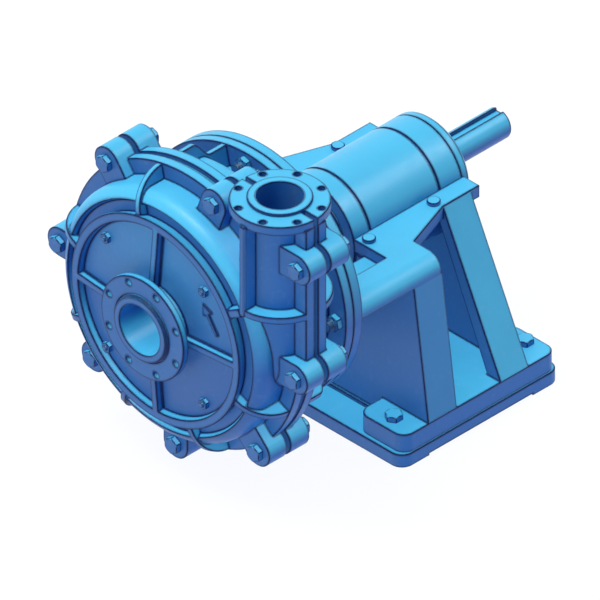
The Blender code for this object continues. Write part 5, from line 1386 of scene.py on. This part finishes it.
def make_camera():
    """An isometric view along the cube's diagonal, as in the photograph."""
    back = Vector((1, -1, 1)).normalized()
    right = Vector((1, 1, 0)).normalized()
    up = back.cross(right)
    middle = IMAGE_SIZE / 2
    aim = ORIGIN + right * (middle - SUCTION_PIXEL[0]) * PIXEL + up * (SUCTION_PIXEL[1] - middle) * PIXEL
    data = bpy.data.cameras.new("camera")
    data.type = "ORTHO"
    data.ortho_scale = IMAGE_SIZE * PIXEL
    data.lens = 50
    data.clip_start = 0.01
    data.clip_end = 50.0
    camera = add_object("camera", data)
    camera.matrix_world = Matrix.Translation(aim + back * CAMERA_DISTANCE) @ Matrix(
        (right, up, back)).transposed().to_4x4()
    bpy.context.scene.camera = camera


def seen_directly(tree, place):
    """1 for rays that the camera, gloss or glass sees directly, 0 for light's own way."""
    path = node(tree, "ShaderNodeLightPath", place)
    first = node(tree, "ShaderNodeMath", (place[0] + 200, place[1]), operation="MAXIMUM")
    tree.links.new(path.outputs["Is Camera Ray"], first.inputs[0])
    tree.links.new(path.outputs["Is Glossy Ray"], first.inputs[1])
    second = node(tree, "ShaderNodeMath", (place[0] + 400, place[1]), operation="MAXIMUM")
    tree.links.new(first.outputs[0], second.inputs[0])
    tree.links.new(path.outputs["Is Transmission Ray"], second.inputs[1])
    return second.outputs[0]


def send_mix(tree, kind, amount, first, second):
    """Sends a mix of two shaders to an output node of a kind."""
    output = node(tree, kind, (600, 0))
    mix = node(tree, "ShaderNodeMixShader", (300, 0))
    for number, source in enumerate((amount, first.outputs[0], second.outputs[0])):
        tree.links.new(source, mix.inputs[number])
    tree.links.new(mix.outputs[0], output.inputs["Surface"])


def make_floor():
    bm = bmesh.new()
    corners = rectangle(-FLOOR_REACH, -FLOOR_REACH, FLOOR_REACH, FLOOR_REACH)
    bm.faces.new([bm.verts.new((x, y, 0.0)) for x, y in corners])
    mesh = bpy.data.meshes.new("floor")
    bm.to_mesh(mesh)
    bm.free()
    floor = add_object("floor", mesh)
    material = bpy.data.materials.new("floor_white")
    material.use_nodes = True
    tree = material.node_tree
    tree.nodes.clear()
    diffuse = node(tree, "ShaderNodeBsdfDiffuse", (0, 0))
    diffuse.inputs["Color"].default_value = FLOOR_GREY
    white = node(tree, "ShaderNodeEmission", (0, -150))
    white.inputs["Color"].default_value = WHITE
    share = node(tree, "ShaderNodeMath", (0, 200), operation="MULTIPLY")
    share.inputs[1].default_value = FLOOR_WHITE_SHARE
    tree.links.new(seen_directly(tree, (-700, 200)), share.inputs[0])
    send_mix(tree, "ShaderNodeOutputMaterial", share.outputs[0], diffuse, white)
    mesh.materials.append(material)


def make_light():
    world = bpy.data.worlds.new("studio")
    bpy.context.scene.world = world
    world.use_nodes = True
    tree = world.node_tree
    tree.nodes.clear()
    soft = node(tree, "ShaderNodeBackground", (0, 0))
    soft.inputs["Color"].default_value = SKY_BLUE
    soft.inputs["Strength"].default_value = SKY_STRENGTH
    white = node(tree, "ShaderNodeBackground", (0, -150))
    white.inputs["Color"].default_value = WHITE
    send_mix(tree, "ShaderNodeOutputWorld", seen_directly(tree, (-700, 200)), soft, white)
    for name, strength, spread_degrees, from_where in SUNS:
        data = bpy.data.lights.new(name, "SUN")
        data.energy = strength
        data.angle = math.radians(spread_degrees)
        data.use_shadow = name == "key"
        sun = add_object(name, data)
        sun.rotation_euler = Vector(from_where).to_track_quat("Z", "Y").to_euler()
        sun.visible_diffuse = name != "sheen"


def main():
    bpy.context.scene.view_settings.view_transform = "Standard"
    makers = (
        make_camera, make_light, make_floor, make_sole_plate, make_bearing_frame, make_bearing_housing,
        make_frame_plate, make_cover_plate, make_liners, make_throatbush, make_impeller, make_shaft,
        make_stuffing_box, make_gland, make_gland_fasteners, make_cover_bolts, make_frame_studs,
        make_foot_bolts, make_clamp_bolts, make_adjusting_screw, make_disc_studs, dress_hidden_nodes,
    )
    for make in makers:
        make()
    for material in PLACEHOLDERS:
        bpy.data.materials.remove(material)


main()
